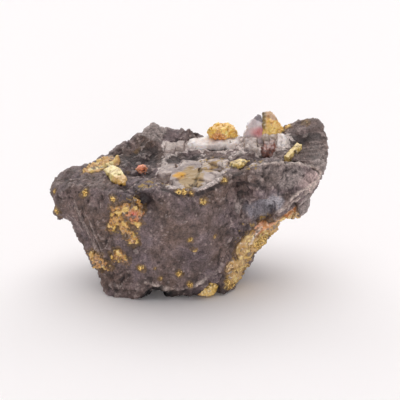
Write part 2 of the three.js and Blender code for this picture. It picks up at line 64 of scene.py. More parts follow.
# %% The camera
LOOK_AT = Vector((2.5, -1.2, 20.5)) * MM
CAMERA_DISTANCE = 280 * MM
CAMERA_ELEVATION = math.radians(22)
FOCAL_LENGTH = 100  # mm
SENSOR_WIDTH = 36  # mm
scene = bpy.context.scene
scene.view_settings.view_transform = "Standard"
backwards = Vector((0, -math.cos(CAMERA_ELEVATION), math.sin(CAMERA_ELEVATION)))
bpy.ops.object.select_all(action="DESELECT")
bpy.ops.object.camera_add(location=LOOK_AT + backwards * CAMERA_DISTANCE)
camera = bpy.context.object
camera.rotation_euler = (-backwards).to_track_quat("-Z", "Y").to_euler()
camera.data.lens = FOCAL_LENGTH
camera.data.sensor_width = SENSOR_WIDTH
camera.data.clip_start = 10 * MM
camera.data.clip_end = 10
scene.camera = camera
print("picture is", round(CAMERA_DISTANCE * SENSOR_WIDTH / FOCAL_LENGTH / MM), "mm wide")

# %% [markdown]
# ## Colours and nodes
# A colour is easiest to choose as a hex value, which is written in sRGB, but shaders calculate in
# linear light, so one function turns one into the other. A material is a tree of nodes. By hand, each
# node is added, set and linked, and one function does those three things for any kind of node.


# %% A colour from its sRGB hex value, and one function that adds a node
def colour(hex_value):
    """Linear red, green, blue and alpha of an sRGB hex value such as '#6a5a59'."""
    channels = [int(hex_value[i : i + 2], 16) / 255 for i in (1, 3, 5)]
    linear = [c / 12.92 if c <= 0.04045 else ((c + 0.055) / 1.055) ** 2.4 for c in channels]
    return (*linear, 1.0)


def add(tree, kind, inputs=None, **settings):
    """Adds a node to tree, with its settings, and each input linked to an output or set to a value."""
    node = tree.nodes.new(kind)
    for name, value in settings.items():
        setattr(node, name, value)
    for name, value in (inputs or {}).items():
        if isinstance(value, bpy.types.NodeSocket):
            tree.links.new(value, node.inputs[name])
        else:
            node.inputs[name].default_value = value
    return node


def new_material(name):
    """An empty material, ready for its nodes."""
    material = bpy.data.materials.new(name)
    material.use_nodes = True
    material.node_tree.nodes.clear()
    return material, material.node_tree


print("middle grey in linear light:", round(colour("#808080")[0], 3))

# %% [markdown]
# ## The floor and the light
# The floor is a plain pale sheet that runs past the picture's edges. The light is a pale room and four
# wide, soft lamps. A sun lamp that looks wide stands for a large panel, and its light doesn't fade
# with distance. The strongest is overhead, so the shadow under the front lip is deep and short. Two
# behind the stone brighten its skyline and draw the floor's soft shadow forwards. One in front, low
# down, opens up the face without lighting the floor under the lip.

# %% The floor
FLOOR_SIDE = 6.0  # m
bpy.ops.object.select_all(action="DESELECT")
bpy.ops.mesh.primitive_plane_add(size=FLOOR_SIDE)
floor = bpy.context.object
floor.name = "floor"
# matt white paper: its loose fibres scatter light evenly, so the floor has a soft shadow and no shine
floor_paper, tree = new_material("matt_white_paper")
paper = add(tree, "ShaderNodeBsdfPrincipled", {"Base Color": colour("#f8f5f6"), "Roughness": 0.9})
add(tree, "ShaderNodeOutputMaterial", {"Surface": paper.outputs[0]})
floor.data.materials.append(floor_paper)
print("floor side in m:", FLOOR_SIDE)

# %% The light
ROOM_COLOUR = "#fdfcff"
ROOM_STRENGTH = 0.28
world = bpy.data.worlds.new("pale_room")
scene.world = world
world.use_nodes = True
room = world.node_tree.nodes["Background"].inputs
room["Color"].default_value = colour(ROOM_COLOUR)
room["Strength"].default_value = ROOM_STRENGTH
LAMPS = (
    # name, the way its light comes from, strength, how wide it looks in degrees, colour
    ("overhead_panel", (0.0, 0.26, 1.0), 1.72, 70, "#fffdfb"),
    ("back_right_panel", (0.7, 1.0, 0.36), 1.2, 60, "#fffdfb"),
    ("back_left_panel", (-0.7, 1.0, 0.36), 1.1, 60, "#fffdfb"),
    ("low_front_panel", (0.05, -1.0, 0.06), 1.42, 30, "#fffcfb"),
)
for name, comes_from, strength, width, tint in LAMPS:
    bpy.ops.object.select_all(action="DESELECT")
    bpy.ops.object.light_add(type="SUN")
    lamp = bpy.context.object
    lamp.name = name
    lamp.data.energy = strength
    lamp.data.angle = math.radians(width)
    lamp.data.color = colour(tint)[:3]
    lamp.rotation_euler = (-Vector(comes_from)).to_track_quat("-Z", "Y").to_euler()
print("lamps:", [name for name, *_ in LAMPS])

# %% [markdown]
# ## Rules for breaking stone
# Nobody models a rock's surface by hand. It has relief at every size, so it is made by rules that
# move each point of a fine mesh along its normal. Three rules are enough. *Swells* are smooth noise,
# for weathered faces. *Broken* splits space into cells like a crushed heap, each cell with its own
# level and tilt, for fracture faces and grains. *Fibres* are swells drawn out one way, for bedding,
# cleavage and striations. Each one is a few lines of array arithmetic, and gives the same numbers on
# every run, because its chances are mixed from the place itself and a seed.

# %% Swells
TURN = np.array(((0.62, -0.52, 0.59), (0.71, 0.68, -0.15), (-0.32, 0.51, 0.79)))  # off every axis
CELL_PRIMES = (73856093, 19349663, 83492791)  # large primes give neighbouring cells unlike keys
SEED_PRIME = 7919
COUNT_PRIME = 104729
MIXER = 73244475
LOW_32_BITS = 0xFFFFFFFF
SWELL_GAIN = 1.7  # brings the noise, which alone stays within about 0.6, to about -1 to 1


def chance(cells, seed, count):
    """Numbers from 0 to 1 for each lattice cell, count of them, the same on every run."""
    x, y, z = (cells[:, k] * prime for k, prime in enumerate(CELL_PRIMES))
    numbers = []
    for k in range(count):
        mixed = ((x ^ y ^ z) + seed * SEED_PRIME + k * COUNT_PRIME) & LOW_32_BITS
        for _ in range(2):
            mixed = ((mixed >> 16 ^ mixed) * MIXER) & LOW_32_BITS
        numbers.append((mixed >> 16 ^ mixed) / LOW_32_BITS)
    return np.stack(numbers, -1)


def ramp(values, low, high):
    """0 below low, 1 above high, smooth between. With low above high it falls instead of rising."""
    t = np.clip((values - low) / (high - low), 0, 1)
    return t * t * (3 - 2 * t)


def swells(points, size, seed):
    """Smooth noise from about -1 to 1, with swells of about this size in mm."""
    p = points @ TURN / size
    corner = np.floor(p).astype(np.int64)
    inside = p - corner
    share = inside**3 * (inside * (inside * 6 - 15) + 10)
    total = np.zeros(len(p))
    for step in itertools.product((0, 1), repeat=3):
        slope = chance(corner + step, seed, 3) * 2 - 1
        weight = np.where(step, share, 1 - share).prod(1)
        total += ((inside - step) * slope).sum(1) * weight
    return total * SWELL_GAIN


ruler = np.linspace((0, 0, 0), (100, 0, 0), 400)
print("swells run from", round(swells(ruler, 4, 1).min(), 2), "to", round(swells(ruler, 4, 1).max(), 2))


# %% Broken cells and fibres
def broken(points, size, seed):
    """Cells of about this size in mm: the level and the tilt (-1 to 1) of the cell each point is in."""
    p = points @ TURN / size
    corner = np.floor(p).astype(np.int64)
    nearest = np.full(len(p), np.inf)
    level = np.zeros(len(p))
    tilt = np.zeros(len(p))
    for step in itertools.product((-1, 0, 1), repeat=3):
        r = chance(corner + step, seed, 7)
        away = p - (corner + step + r[:, :3])
        distance = (away**2).sum(1)
        closer = distance < nearest
        nearest = np.where(closer, distance, nearest)
        level = np.where(closer, r[:, 3] * 2 - 1, level)
        tilt = np.where(closer, (away * (r[:, 4:] * 2 - 1)).sum(1), tilt)
    return level, tilt


def fibres(points, along, spacing, length, seed):
    """Swells of this spacing, drawn out to this length (mm) along a direction."""
    a = np.array(along) / np.linalg.norm(along)
    run = (points @ a)[:, None] * a
    return swells((points - run) / spacing + run / length, 1, seed)


def shaken(points, size, shift, seed):
    """The points moved about by up to this shift in mm, by swells of this size."""
    return points + shift * np.stack([swells(points, size, seed + k) for k in range(3)], 1)


print("cells of 4 mm along 100 mm:", len(np.unique(broken(ruler, 4, 1)[0])))

# %% [markdown]
# ## Saying where a rule holds
# A painter masks a model by hand. Here a mask is arithmetic as well: `within` is 1 inside an egg, and
# `beside` is 1 on a line and fades to its sides. From here on, an egg is written as its middle, its
# radii in mm and, where it isn't the usual one, the softness of its edge. A line is written as its
# corners. `ramp` turns any measure into a share with a soft edge, `mound` is a round bump, and shares
# are joined by taking the larger one or by multiplying.

# %% Eggs, lines and mounds
CUT = np.array((0, -0.927, 0.375))  # the way a vein's sheet runs out of the stone
ACROSS_CUT = np.eye(3) - np.outer(CUT, CUT)


def from_point(points, centre):
    """Each point's distance from this centre in mm."""
    return np.sqrt(((points - centre) ** 2).sum(1))


def mound(distance):
    """1 at distance 0, falling smoothly to a third at 1 and to nothing past 2."""
    return np.exp(-(distance**2))


def within(points, centre, radii, edge=0.4):
    """1 inside an egg with these radii (mm), 0 outside it, smooth over this share of its radii."""
    distance = np.sqrt((((points - centre) / radii) ** 2).sum(1))
    return ramp(distance, 1 + edge / 2, 1 - edge / 2)


def any_of(points, *eggs):
    """1 inside any of these eggs, each given as `within` takes it."""
    return np.maximum.reduce([within(points, *egg) for egg in eggs])


def beside(points, corners, width):
    """1 on a line through these corners, falling to 0 at this distance (mm) to the side of it.

    The line counts as a sheet that cuts into the stone from the front, so it marks whatever surface
    lies there, as a real vein does.
    """
    points = points @ ACROSS_CUT
    nearest = np.full(len(points), np.inf)
    for start, end in itertools.pairwise(np.array(corners, float) @ ACROSS_CUT):
        way = end - start
        share = np.clip((points - start) @ way / (way @ way), 0, 1)
        nearest = np.minimum(nearest, np.linalg.norm(points - start - share[:, None] * way, axis=1))
    return ramp(nearest, width, 0)


halfway = np.array([(1.4, 0, 0)])
print("share at 1.4 from the middle of an egg with radii of 1.4:", within(halfway, (0, 0, 0), (1.4, 1, 1)))

# %% [markdown]
# ## Tools for the meshes
# A voxel remesh turns a solid with long thin faces into an even net of small ones, which is what the
# rules need: they can only shape what has points. `paint` stores a share on each point, and a material
# reads it by name. The mesh can be measured as well: `relief` compares a point with the middle of its
# neighbourhood, so it finds chipped edges and pits, and `distance_to` finds what lies near a solid.


# %% Reading, moving and painting a mesh's points
def points_of(piece):
    """Every point of the piece in mm, as an array."""
    flat = np.empty(len(piece.data.vertices) * 3, np.float32)
    piece.data.vertices.foreach_get("co", flat)
    return flat.reshape(-1, 3).astype(float) / MM


def place_points(piece, points):
    """Puts every point of the piece at these places in mm."""
    piece.data.vertices.foreach_set("co", (points * MM).astype(np.float32).ravel())
    piece.data.update()


def normals_of(piece):
    """Every point's outward direction."""
    flat = np.empty(len(piece.data.vertices) * 3, np.float32)
    piece.data.vertex_normals.foreach_get("vector", flat)
    return flat.reshape(-1, 3).astype(float)


def move(piece, heights):
    """Moves each point along its normal by this height in mm."""
    place_points(piece, points_of(piece) + normals_of(piece) * heights[:, None])


def paint(piece, name, values):
    """Stores a share from 0 to 1 at each point, which a material reads by this name."""
    attribute = piece.data.attributes.new(name, "FLOAT", "POINT")
    attribute.data.foreach_set("value", np.clip(values, 0, 1).astype(np.float32))


print("points of the packed lump:", len(points_of(nodes["matrix"])))


# %% Measuring a mesh
def smoothed(piece, rounds):
    """Where each point would be if it moved to the middle of its neighbours, this many times over."""
    smooth = points_of(piece)
    pairs = np.empty(len(piece.data.edges) * 2, np.int32)
    piece.data.edges.foreach_get("vertices", pairs)
    ends = np.concatenate((pairs[0::2], pairs[1::2]))
    others = np.concatenate((pairs[1::2], pairs[0::2]))
    count = np.bincount(ends, minlength=len(smooth))
    for _ in range(rounds):
        total = [np.bincount(ends, smooth[others, k], len(smooth)) for k in range(3)]
        smooth = np.stack(total, 1) / count[:, None]
    return smooth


def relief(piece, rounds):
    """How far each point stands above (+) or below (-) its surroundings, in mm."""
    return ((points_of(piece) - smoothed(piece, rounds)) * normals_of(piece)).sum(1)


def distance_to(points, node, reach):
    """Each point's distance (mm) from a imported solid, where it is less than about this reach."""
    solid = BVHTree.FromObject(nodes[node], bpy.context.evaluated_depsgraph_get())
    low, high = (np.array(corner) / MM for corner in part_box(node))
    distance = np.full(len(points), float(reach))
    for i in np.flatnonzero(((points > low - reach) & (points < high + reach)).all(1)):
        distance[i] = solid.find_nearest(Vector(points[i]) * MM)[3] / MM
    return distance


above_lump = np.array([(0.0, 0.0, 50.0)])
print("mm from a point above to the lump:", round(distance_to(above_lump, "matrix", 50)[0], 1))

# %% [markdown]
# ## Operators
# An operator acts on whatever is selected, so each one here first chooses its piece. The solids come
# as loose triangles, so a copy has its doubles merged before the remesh closes it into one skin.

# %% Operators that copy and change a piece
MERGE_DISTANCE = 0.001 * MM


def choose(piece):
    """Makes the piece the only one that is selected and active, as every operator expects."""
    bpy.ops.object.select_all(action="DESELECT")
    piece.select_set(True)
    bpy.context.view_layer.objects.active = piece


def modify(piece, kind, **settings):
    """Adds a modifier, sets it and applies it."""
    choose(piece)
    modifier = piece.modifiers.new(kind.lower(), kind)
    for name, value in settings.items():
        setattr(modifier, name, value)
    bpy.ops.object.modifier_apply(modifier=modifier.name)


def fine_copy(node, name, voxel, rounding):
    """A copy of a solid as one even mesh of this voxel size (mm), its edges softened in rounds."""
    piece = bpy.data.objects.new(name, nodes[node].data.copy())
    scene.collection.objects.link(piece)
    piece.data.materials.clear()
    choose(piece)
    bpy.ops.object.mode_set(mode="EDIT")
    bpy.ops.mesh.select_all(action="SELECT")
    bpy.ops.mesh.remove_doubles(threshold=MERGE_DISTANCE)
    bpy.ops.object.mode_set(mode="OBJECT")
    modify(piece, "REMESH", mode="VOXEL", voxel_size=voxel * MM)
    modify(piece, "SMOOTH", factor=0.5, iterations=rounding)
    piece.data.polygons.foreach_set("use_smooth", np.ones(len(piece.data.polygons), bool))
    return piece


print("points closer than this are merged, in mm:", MERGE_DISTANCE / MM)

# %% [markdown]
# ## The lump of rock
# The lump is fine-grained siliceous rock. Its front is one broad weathered face, its left end is a
# knobbly lobe with a grain like wood below it, its right end is bedded in thin ledges, and the foot,
# the shoulder and the top are freshly broken. One rule all over would look like dough, so each region
# has its own roughness, and a point takes the mixture that its place calls for. The unbroken points
# and normals are kept, because the crusts are made from them later.

# %% A fine mesh of the lump
ROCK_VOXEL = 0.33  # mm: fine enough for grains of 1 mm, and the rock stays under 200,000 triangles


def store(piece, name, vectors):
    """Keeps a vector for each point under this name."""
    attribute = piece.data.attributes.new(name, "FLOAT_VECTOR", "POINT")
    attribute.data.foreach_set("vector", vectors.astype(np.float32).ravel())


rock = fine_copy("matrix", "rock", ROCK_VOXEL, rounding=6)
store(rock, "unbroken", points_of(rock))
store(rock, "outward", normals_of(rock))
print("points on the rock:", len(rock.data.vertices))

# %% Wearing the lobe and the brow round
LOBE = ((-28, -4, 25), (15, 16, 8.5))
BROW = ((-12, -15, 28), (9, 5, 4))
WORN_ROUNDS = 28
p = points_of(rock)
worn = any_of(p, LOBE, BROW)[:, None]
place_points(rock, p * (1 - worn) + smoothed(rock, WORN_ROUNDS) * worn)
print("points worn round:", int((worn > 0.5).sum()))

# %% Regions of the rock
QUARTZ_NODES = (
    "quartz_ledge", "quartz_left", "quartz_front", "quartz_middle", "quartz_right", "quartz_crystal",
)
REGIONS = {
    # middle and radii in mm
    "lobe": LOBE,
    "front": ((-5, -17, 15.5), (17, 5, 11)),
    "grained flank": ((-25.5, -10, 15), (5.5, 8, 10)),
    "block": ((29, 4, 33), (9, 11, 7)),
    "ridge": ((-9.5, 10, 34), (6, 7, 3.6)),
    "bare foot of the block": ((29.5, -6, 21), (3, 8, 4)),
}
PINK_FACE = ((29.5, -7.5, 28.6), (3.8, 4, 2.7), 0.7)
GLOSSY_FACES = (((17, -10, 21.8), (3.4, 5, 3), 0.5), ((20.2, -9.4, 24), (3, 5, 2.8), 0.5))
ASKEW = {"size": 4, "shift": 1.3, "seed": 81}  # so that a region's edge isn't a plain egg
p = points_of(rock)
n = normals_of(rock)
across, deep, up = p.T
askew = shaken(p, **ASKEW)
lobe, front, grained, block, ridge, bare_block = (within(p, *egg) for egg in REGIONS.values())
pink = within(askew, *PINK_FACE)
glossy = any_of(askew, *GLOSSY_FACES)
top = ramp(up, 27, 30) * ramp(deep, -16, -12)
rugged = np.maximum(lobe, top * ramp(across, -4, -9))
behind = ramp(deep, 4, 11)
to_quartz = np.min([distance_to(p, node, 3) for node in QUARTZ_NODES], axis=0)
calm = ramp(to_quartz, 3, 0.8)
for name, share in zip(REGIONS, (lobe, front, grained, block, ridge, bare_block)):
    print("points on the", name + ":", int((share > 0.5).sum()))

# %% How rough each region is
SMOOTHER = (
    # a region, and how much of the full roughness it lacks
    (front, 0.6), (pink, 0.5), (glossy, 0.72), (grained, 0.3), (ridge, 0.35), (block, 0.6), (calm, 0.5),
    (bare_block, 0.6),
)
LEAST_ROUGHNESS = 0.15
roughness = np.maximum(1 - sum(lack * share for share, lack in SMOOTHER), LEAST_ROUGHNESS)
print("mean roughness:", round(float(roughness.mean()), 2))

# %% Breaking the rock, the large forms first
FRACTURES = (
    # size of the faces, how far one steps from the next and how far it tilts (mm), seed
    (6.5, 0.22, 0.6, 3), (2.6, 0.14, 0.38, 5),
)
WEATHERING = (
    # where, size and height of the swells in mm, seed
    (rugged, 6.5, 0.6, 16), (rugged, 3.4, 0.4, 17), (roughness, 4.2, 0.28, 7), (roughness, 2.1, 0.2, 8),
    (front, 7, 0.36, 9), (front, 2.6, 0.16, 19),
)
CREASES = (
    # spacing and depth in mm, seed
    (6, 0.34, 15), (3, 0.22, 18),
)
CREASE_WIDTH = 0.14  # the share of its spacing that a crease takes up
LOBE_FULLER = 0.45  # mm that the tip of the lobe stands out further than its solid
FLANK_FULLER = 0.6  # mm that the grained flank does
height = LOBE_FULLER * lobe * ramp(across, -22, -27) + FLANK_FULLER * grained
for size, step, slope, seed in FRACTURES:
    level, tilt = broken(p, size, seed)
    height += roughness * (step * level + slope * tilt)
for where, size, rise, seed in WEATHERING:
    height += where * rise * swells(p, size, seed)
for size, depth, seed in CREASES:
    height -= roughness * depth * ramp(np.abs(swells(p, size, seed)), CREASE_WIDTH, 0)
print("broken by mm:", round(height.min(), 2), "to", round(height.max(), 2))

# %% Bedding at the right end, and the grain of the left flank
LEDGE = 2.3  # mm from one ledge to the next
BED_WAVE = 1.1  # mm that a ledge rises and falls
BED_DIP = 0.05  # how much it slopes down to the left
THIN_BEDS = {"along": (1, 0.1, 0.06), "spacing": 0.8, "length": 12, "seed": 13}
STRIATIONS = {"along": (0.43, -0.1, -0.9), "spacing": 0.8, "length": 16, "seed": 14}
bed = (up + BED_WAVE * swells(p, 8, 12) - BED_DIP * across) / LEDGE
ledges = bed - np.floor(bed)  # each one stands out further towards its lower edge, and then steps in
bedded = 0.3 * block + 0.2 * top + 0.16 * behind
height += bedded * (0.5 - ledges) * (1 - np.abs(n[:, 2]))
thin_beds = fibres(p, **THIN_BEDS)
striations = fibres(p, **STRIATIONS)
height += 0.26 * block * thin_beds + 0.34 * grained * striations
print("ledges up the block:", int(np.ptp(bed[block > 0.5])))

# %% [markdown]
# ## Single features
# Some features are known one by one: a pit where a crystal has fallen out, a knob, a ring that a
# vanished crystal has left, the rims where the lip and the shoulder have chipped, and the grooves
# below them. Each is a place, a size and a depth in a table, and one line of arithmetic presses the
# whole table into the surface. A rim stands up as a thin ridge, broken off here and there, and gets a
# painted highlight; the grooves get painted shade.

# %% Peaks, pits and rings
PEAKS = (
    # middle, radius and height in mm: below zero, a part that has worn away
    ((-8.2, -13.6, 0), 2.4, 1.5), ((-9.9, 10.5, 35.2), 2.3, 1.2), ((-4, 11.5, 34.5), 3, 0.5),
    ((31, 9.5, 38), 4, 0.5), ((12.2, -12.1, 23.6), 1.3, 0.35), ((18.6, -6.8, 12), 2.2, 0.9),
    ((34, 1, 32), 5, -0.8), ((-31, -3, 27.5), 4, -0.9), ((27, -5, 17.5), 3, 1.0),
)
PITS = (
    # middle, radius and depth in mm of each place where something has fallen out
    ((-11.4, -15.6, 27.0), 2.6, 1.1), ((-8.8, -17.5, 25.3), 1.1, 0.3), ((-21.9, -13.9, 26.4), 1.6, 0.7),
    ((-25.7, -10.9, 20.5), 0.7, 0.5), ((-17.1, -15.0, 5.4), 1.0, 0.7), ((-15.2, 4.7, 30.4), 1.8, 0.6),
    ((-10.1, 5.2, 32.1), 1.6, 0.8), ((-1.2, 0.5, 31.1), 2.6, 0.9), ((6.4, 5.9, 31.4), 1.2, 0.8),
    ((27.8, 5.0, 33.8), 2.2, 0.3), ((-17.2, -13.9, 19.6), 1.0, 0.3),
)
RINGS = (
    # middle and radius in mm
    ((-8.2, -17.7, 20.2), 0.75), ((-8.2, -17.3, 15.9), 0.6), ((-4.4, -17.6, 22.6), 0.5),
)
RING_DEPTH = RING_WIDTH = 0.28  # mm
for centre, radius, rise in PEAKS:
    height += rise * mound(from_point(p, centre) / radius)
for centre, radius, depth in PITS:
    height -= depth * mound(from_point(p, centre) / radius)
for centre, radius in RINGS:
    height -= RING_DEPTH * mound((from_point(p, centre) - radius) / RING_WIDTH)
print("single features:", len(PEAKS), "peaks,", len(PITS), "pits and", len(RINGS), "rings")

# %% Grooves, and the rims that stand above them
LIP = (
    (-10.9, -16.7, 4.9), (-7.2, -16.4, 3.9), (-3.6, -16.4, 2.8), (0.1, -16.5, 3.4), (3.8, -16.3, 5.8),
    (8.7, -13.6, 8.3),
)
LIP_WORN = ((-2, -16, 3), (3.6, 3, 3))  # where the lip is rounded off
SHOULDER_RIM = (
    (14.5, -10.5, 33.3), (17.3, -10.9, 34), (21.7, -9.8, 33.6), (25.5, -8.4, 33), (28.6, -6.6, 32),
    (31.2, -4.2, 30.4), (32.6, -3, 28.5), (31, -7, 27.7), (28, -9.8, 26.7), (26.2, -10.9, 26.2),
    (24.2, -11.9, 24.8), (22.7, -11.1, 22.9),
)
LOWER_RIM = ((20.6, -10, 20.6), (24.6, -10, 23), (28.2, -9, 25.2), (31, -7, 27))
RIM_HEIGHT = 0.4
BELOW_SHOULDER = ((14, -7.4, 32.4), (18, -7, 32.8), (22, -6, 32.4), (26, -4.6, 31.8), (29.4, -2, 30.6))
BELOW_QUARTZ = (
    (-6, -16.5, 29.4), (-2.7, -18, 28.5), (0.8, -17.4, 28.2), (4.2, -16.6, 29), (7.6, -15.4, 30.3),
    (10.4, -13.6, 31.6), (12.4, -12, 32.2),
)
VALLEY = ((10.4, -13.6, 31), (12.6, -12, 29.4), (15.2, -11.2, 28.2), (18, -10.6, 27.6))
GROOVES = (
    # the line, its width and its depth in mm
    (BELOW_SHOULDER, 1.0, 0.35), (BELOW_QUARTZ, 1.0, 0.6), (VALLEY, 1.8, 0.35),
)
DEEPEST_GROOVE = 0.6
facing = ramp(deep, 1, -2)
shade = np.zeros(len(p))
for line, width, depth in GROOVES:
    groove = facing * beside(p, line, width)
    height -= depth * groove
    shade = np.maximum(shade, groove * depth / DEEPEST_GROOVE)
broken_off = 0.3 + 0.7 * ramp(swells(p, 3, 84) + 0.5 * swells(p, 1.2, 85), -0.35, 0.15)
lip = beside(p, LIP, 0.55) * ramp(up, 12, 9) * ramp(across, 9, 3) * (1 - 0.7 * within(p, *LIP_WORN))
shoulder_rims = np.maximum(beside(p, SHOULDER_RIM, 0.6), 0.8 * beside(p, LOWER_RIM, 0.5))
# the rim stands up, and its share also paints a highlight along it
lit_rim = facing * broken_off * np.maximum(lip, shoulder_rims * ramp(up, 18, 20))
height += RIM_HEIGHT * lit_rim
move(rock, height)
print("rock's relief in mm:", round(height.min(), 2), "to", round(height.max(), 2))

# %% [markdown]
# ## Quartz and ore on the rock
# Quartz and orpiment don't stop at the edge of a crystal. A skin of quartz runs out over the rock
# around the white masses, and orpiment stands on it in single grains and in crumbs beside the crusts,
# each with a brownish halo where the ore has stained the stone. A wandering number, the speckle, is
# added to each distance, so that no stain is round. The grains get real relief, the halo only colour.

# %% Grains, crumbs and their halo
p = points_of(rock)
GRAINS = (
    # middle and radius in mm
    ((-25.5, -11.1, 26.6), 0.9), ((-17.4, -14.5, 11.6), 1.0), ((-22.6, -12.3, 10.1), 0.8),
    ((3.3, -16.9, 26.6), 0.8), ((0.2, -17.7, 16.9), 0.55), ((1.1, -17.4, 14.3), 0.6),
    ((6.2, -15.8, 16.8), 0.45), ((-11.8, -16.3, 8.8), 0.8), ((-2.6, -16.2, 7.2), 0.7),
    ((0.1, -16.5, 4.5), 0.7), ((-7.2, -16.2, 6.0), 0.45), ((-8.4, -16.2, 8.7), 0.4),
    ((30, 9.8, 36.6), 1.1), ((30.2, 9.4, 35.4), 0.8), ((25.1, 10.6, 35.9), 0.9), ((8.4, -14.8, 31.2), 0.8),
    ((-2.4, -17.8, 29.4), 0.8), ((-1, -17.4, 29.1), 0.8), ((0.3, -17.2, 28.9), 0.6),
    ((-18.1, -14.6, 26.2), 0.8), ((-12.4, -15.8, 26.4), 0.8), ((-32.2, -7, 20.2), 1.0),
    ((-14.0, 6.0, 31.6), 0.8), ((-14.9, -5.2, 29.8), 0.8), ((-33.3, -5.2, 24.4), 0.5),
)
CRUST_NODES = (
    "orpiment_patch_front", "orpiment_crust_left", "orpiment_seam", "orpiment_crust_foot",
    "orpiment_spot_front",
)
speckle = swells(p, 1.3, 21) + 0.8 * swells(p, 0.65, 20)
stain = np.zeros(len(p))
halo = np.zeros(len(p))
for centre, radius in GRAINS:
    distance = from_point(p, centre) / radius + 0.45 * speckle
    stain = np.maximum(stain, ramp(distance, 1.1, 0.8))
    halo = np.maximum(halo, ramp(distance, 2.4, 1.0))
to_crust = np.min([distance_to(p, node, 3) for node in CRUST_NODES], axis=0) + 0.7 * speckle
outer = ramp(across - 0.7 * up, 4.5, 7) * ramp(up, 16, 12)  # low down the ore spreads to the stone's edge
crumbs = outer * ramp(to_crust, 0.7 + 1.4 * outer, 0.2 + 1.2 * outer)
stain = np.maximum(stain, 0.75 * crumbs * (1 - bare_block))
halo = np.maximum(halo, ramp(to_crust, 1.7, 0.5) * (1 - bare_block))
print("points under ore:", int((stain > 0.5).sum()))

# %% The skin of quartz, and the finest relief
TOP_OF_ROCK = (((2, 0, 31.5), (13, 12, 3.2)), ((21, 6, 33), (6, 6, 3)))
SKIN_GAPS = (
    # share that is bare rock, middle and radii in mm, softness of the edge
    (1, (-1.5, 0.6, 31), (5, 2.2, 2.2), 0.8), (1, (-8.8, 3, 31.4), (2.6, 3.6, 2.6), 0.8),
    (1, (9, -2, 32), (5, 2, 2), 0.8), (1, (6.8, 5.1, 31.6), (2.8, 1.3, 0.8), 0.6),
    (0.8, (-6, 12, 33), (6, 3, 3), 0.8),
)
SKIN_THICKNESS = 0.3  # mm
patchy = swells(p, 2.4, 33) + 0.6 * swells(p, 1.1, 34)
bare = np.maximum.reduce([share * within(p, *egg) for share, *egg in SKIN_GAPS])
near_quartz = ramp(to_quartz + patchy, 1.4, 0.1)
quartz = (1 - bare) * np.maximum(near_quartz, any_of(p, *TOP_OF_ROCK) * ramp(patchy, 0.0, 0.6))
level, tilt = broken(p, 1.1, 22)
# the finest relief of all, in mm: grains of 1.1 mm, and swells of about the same size and smaller
fine = 0.11 * level + 0.2 * tilt + 0.12 * swells(p, 1.3, 23) + 0.09 * swells(p, 0.75, 24)
fine *= (0.35 + 0.65 * roughness) * (1 - 0.3 * lobe)
grain_height = stain * (0.26 + 0.14 * level + 0.2 * tilt)
move(rock, grain_height + SKIN_THICKNESS * ramp(to_quartz, 2, 0) + fine)
print("points under the skin of quartz:", int((quartz > 0.5).sum()))

# %% [markdown]
# ## What the rock's material reads
# A material can't know where the lip is or where an edge stands out, but the mesh does. So each share is
# worked out here, from the rules and from the relief that has just been made, and painted on the
# points. The material then reads it by name. Several shares are painted shade and painted highlights.
# Eggs are measured from points that are shaken about, so that their edges wander as a stain's do.

# %% Where each colour lies
p = points_of(rock)
askew = shaken(p, **ASKEW)
# painted shade in the pockets on the top, the slit under the ledge, the block's recess and the cave under
# the lip; the egg at (-13.4, 2.6, 31) is darker stone
DARK_AND_SHADED = (
    ((-1.6, 0.8, 31), (6, 2.2, 2.2), 0.8), ((6.8, 5.1, 31.6), (3, 1.5, 1), 0.8),
    ((29, 5.4, 34), (6, 2, 0.8), 0.8), ((-13.4, 2.6, 31), (6, 5, 3), 0.8), ((-8, -12, 1.5), (4, 5, 3), 0.8),
)
# painted shade low on the underside below the lip
SHADE_UNDER_LIP = ((-1, -13, 1), (12, 6, 6), 0.6)
# painted shade, near black, in the cave under the lip
CAVE_SHADE = ((-8.2, -14, 0.6), (4, 5.5, 3.5), 0.25)
# painted shade in the dimple under the brow
DIMPLE_SHADE = ((-11.6, -15.6, 27.2), (4, 3, 3.2), 1.4)
PALE_AND_LIT = (
    # strength, middle and radii in mm, softness of the edge
    (1, (-9.6, 11, 35), (4, 5, 2.2), 0.8), (0.6, (32, 2, 30), (3, 8, 6), 0.9),
    (0.8, (12.2, -12.1, 23.6), (1.5, 2, 1.9), 0.8), (1, (17.6, -8.6, 19), (1.2, 2, 0.5)),
    # painted light: the shoulder's face, brightened where the lamps leave it in shade
    (0.55, (20, -10, 30.4), (9, 5, 4), 0.8),
)
# a painted highlight on the glossy facet
SHEEN_HIGHLIGHT = ((20.4, -9.4, 24.4), (2.2, 3.4, 2.2), 1.2)
# painted highlight on edges that stand out from their surroundings
edges = ramp(relief(rock, 7), 0.05, 0.2) * ramp(patchy, -0.6, 0.4)
bed_edges = 0.8 * block * ramp(thin_beds, 0.2, 0.5)
bed_shade = block * ramp(up, 36.5, 35) * (0.15 + 0.6 * ramp(thin_beds, 0.1, -0.4)) * ramp(across, 34, 32)
underside_shade = ramp(up, 3.4, 1.8) * within(p, *SHADE_UNDER_LIP)
pale_and_lit = [strength * within(askew, *egg) for strength, *egg in PALE_AND_LIT] + [0.7 * bare_block]
print("points on chipped edges:", int((edges > 0.5).sum()))

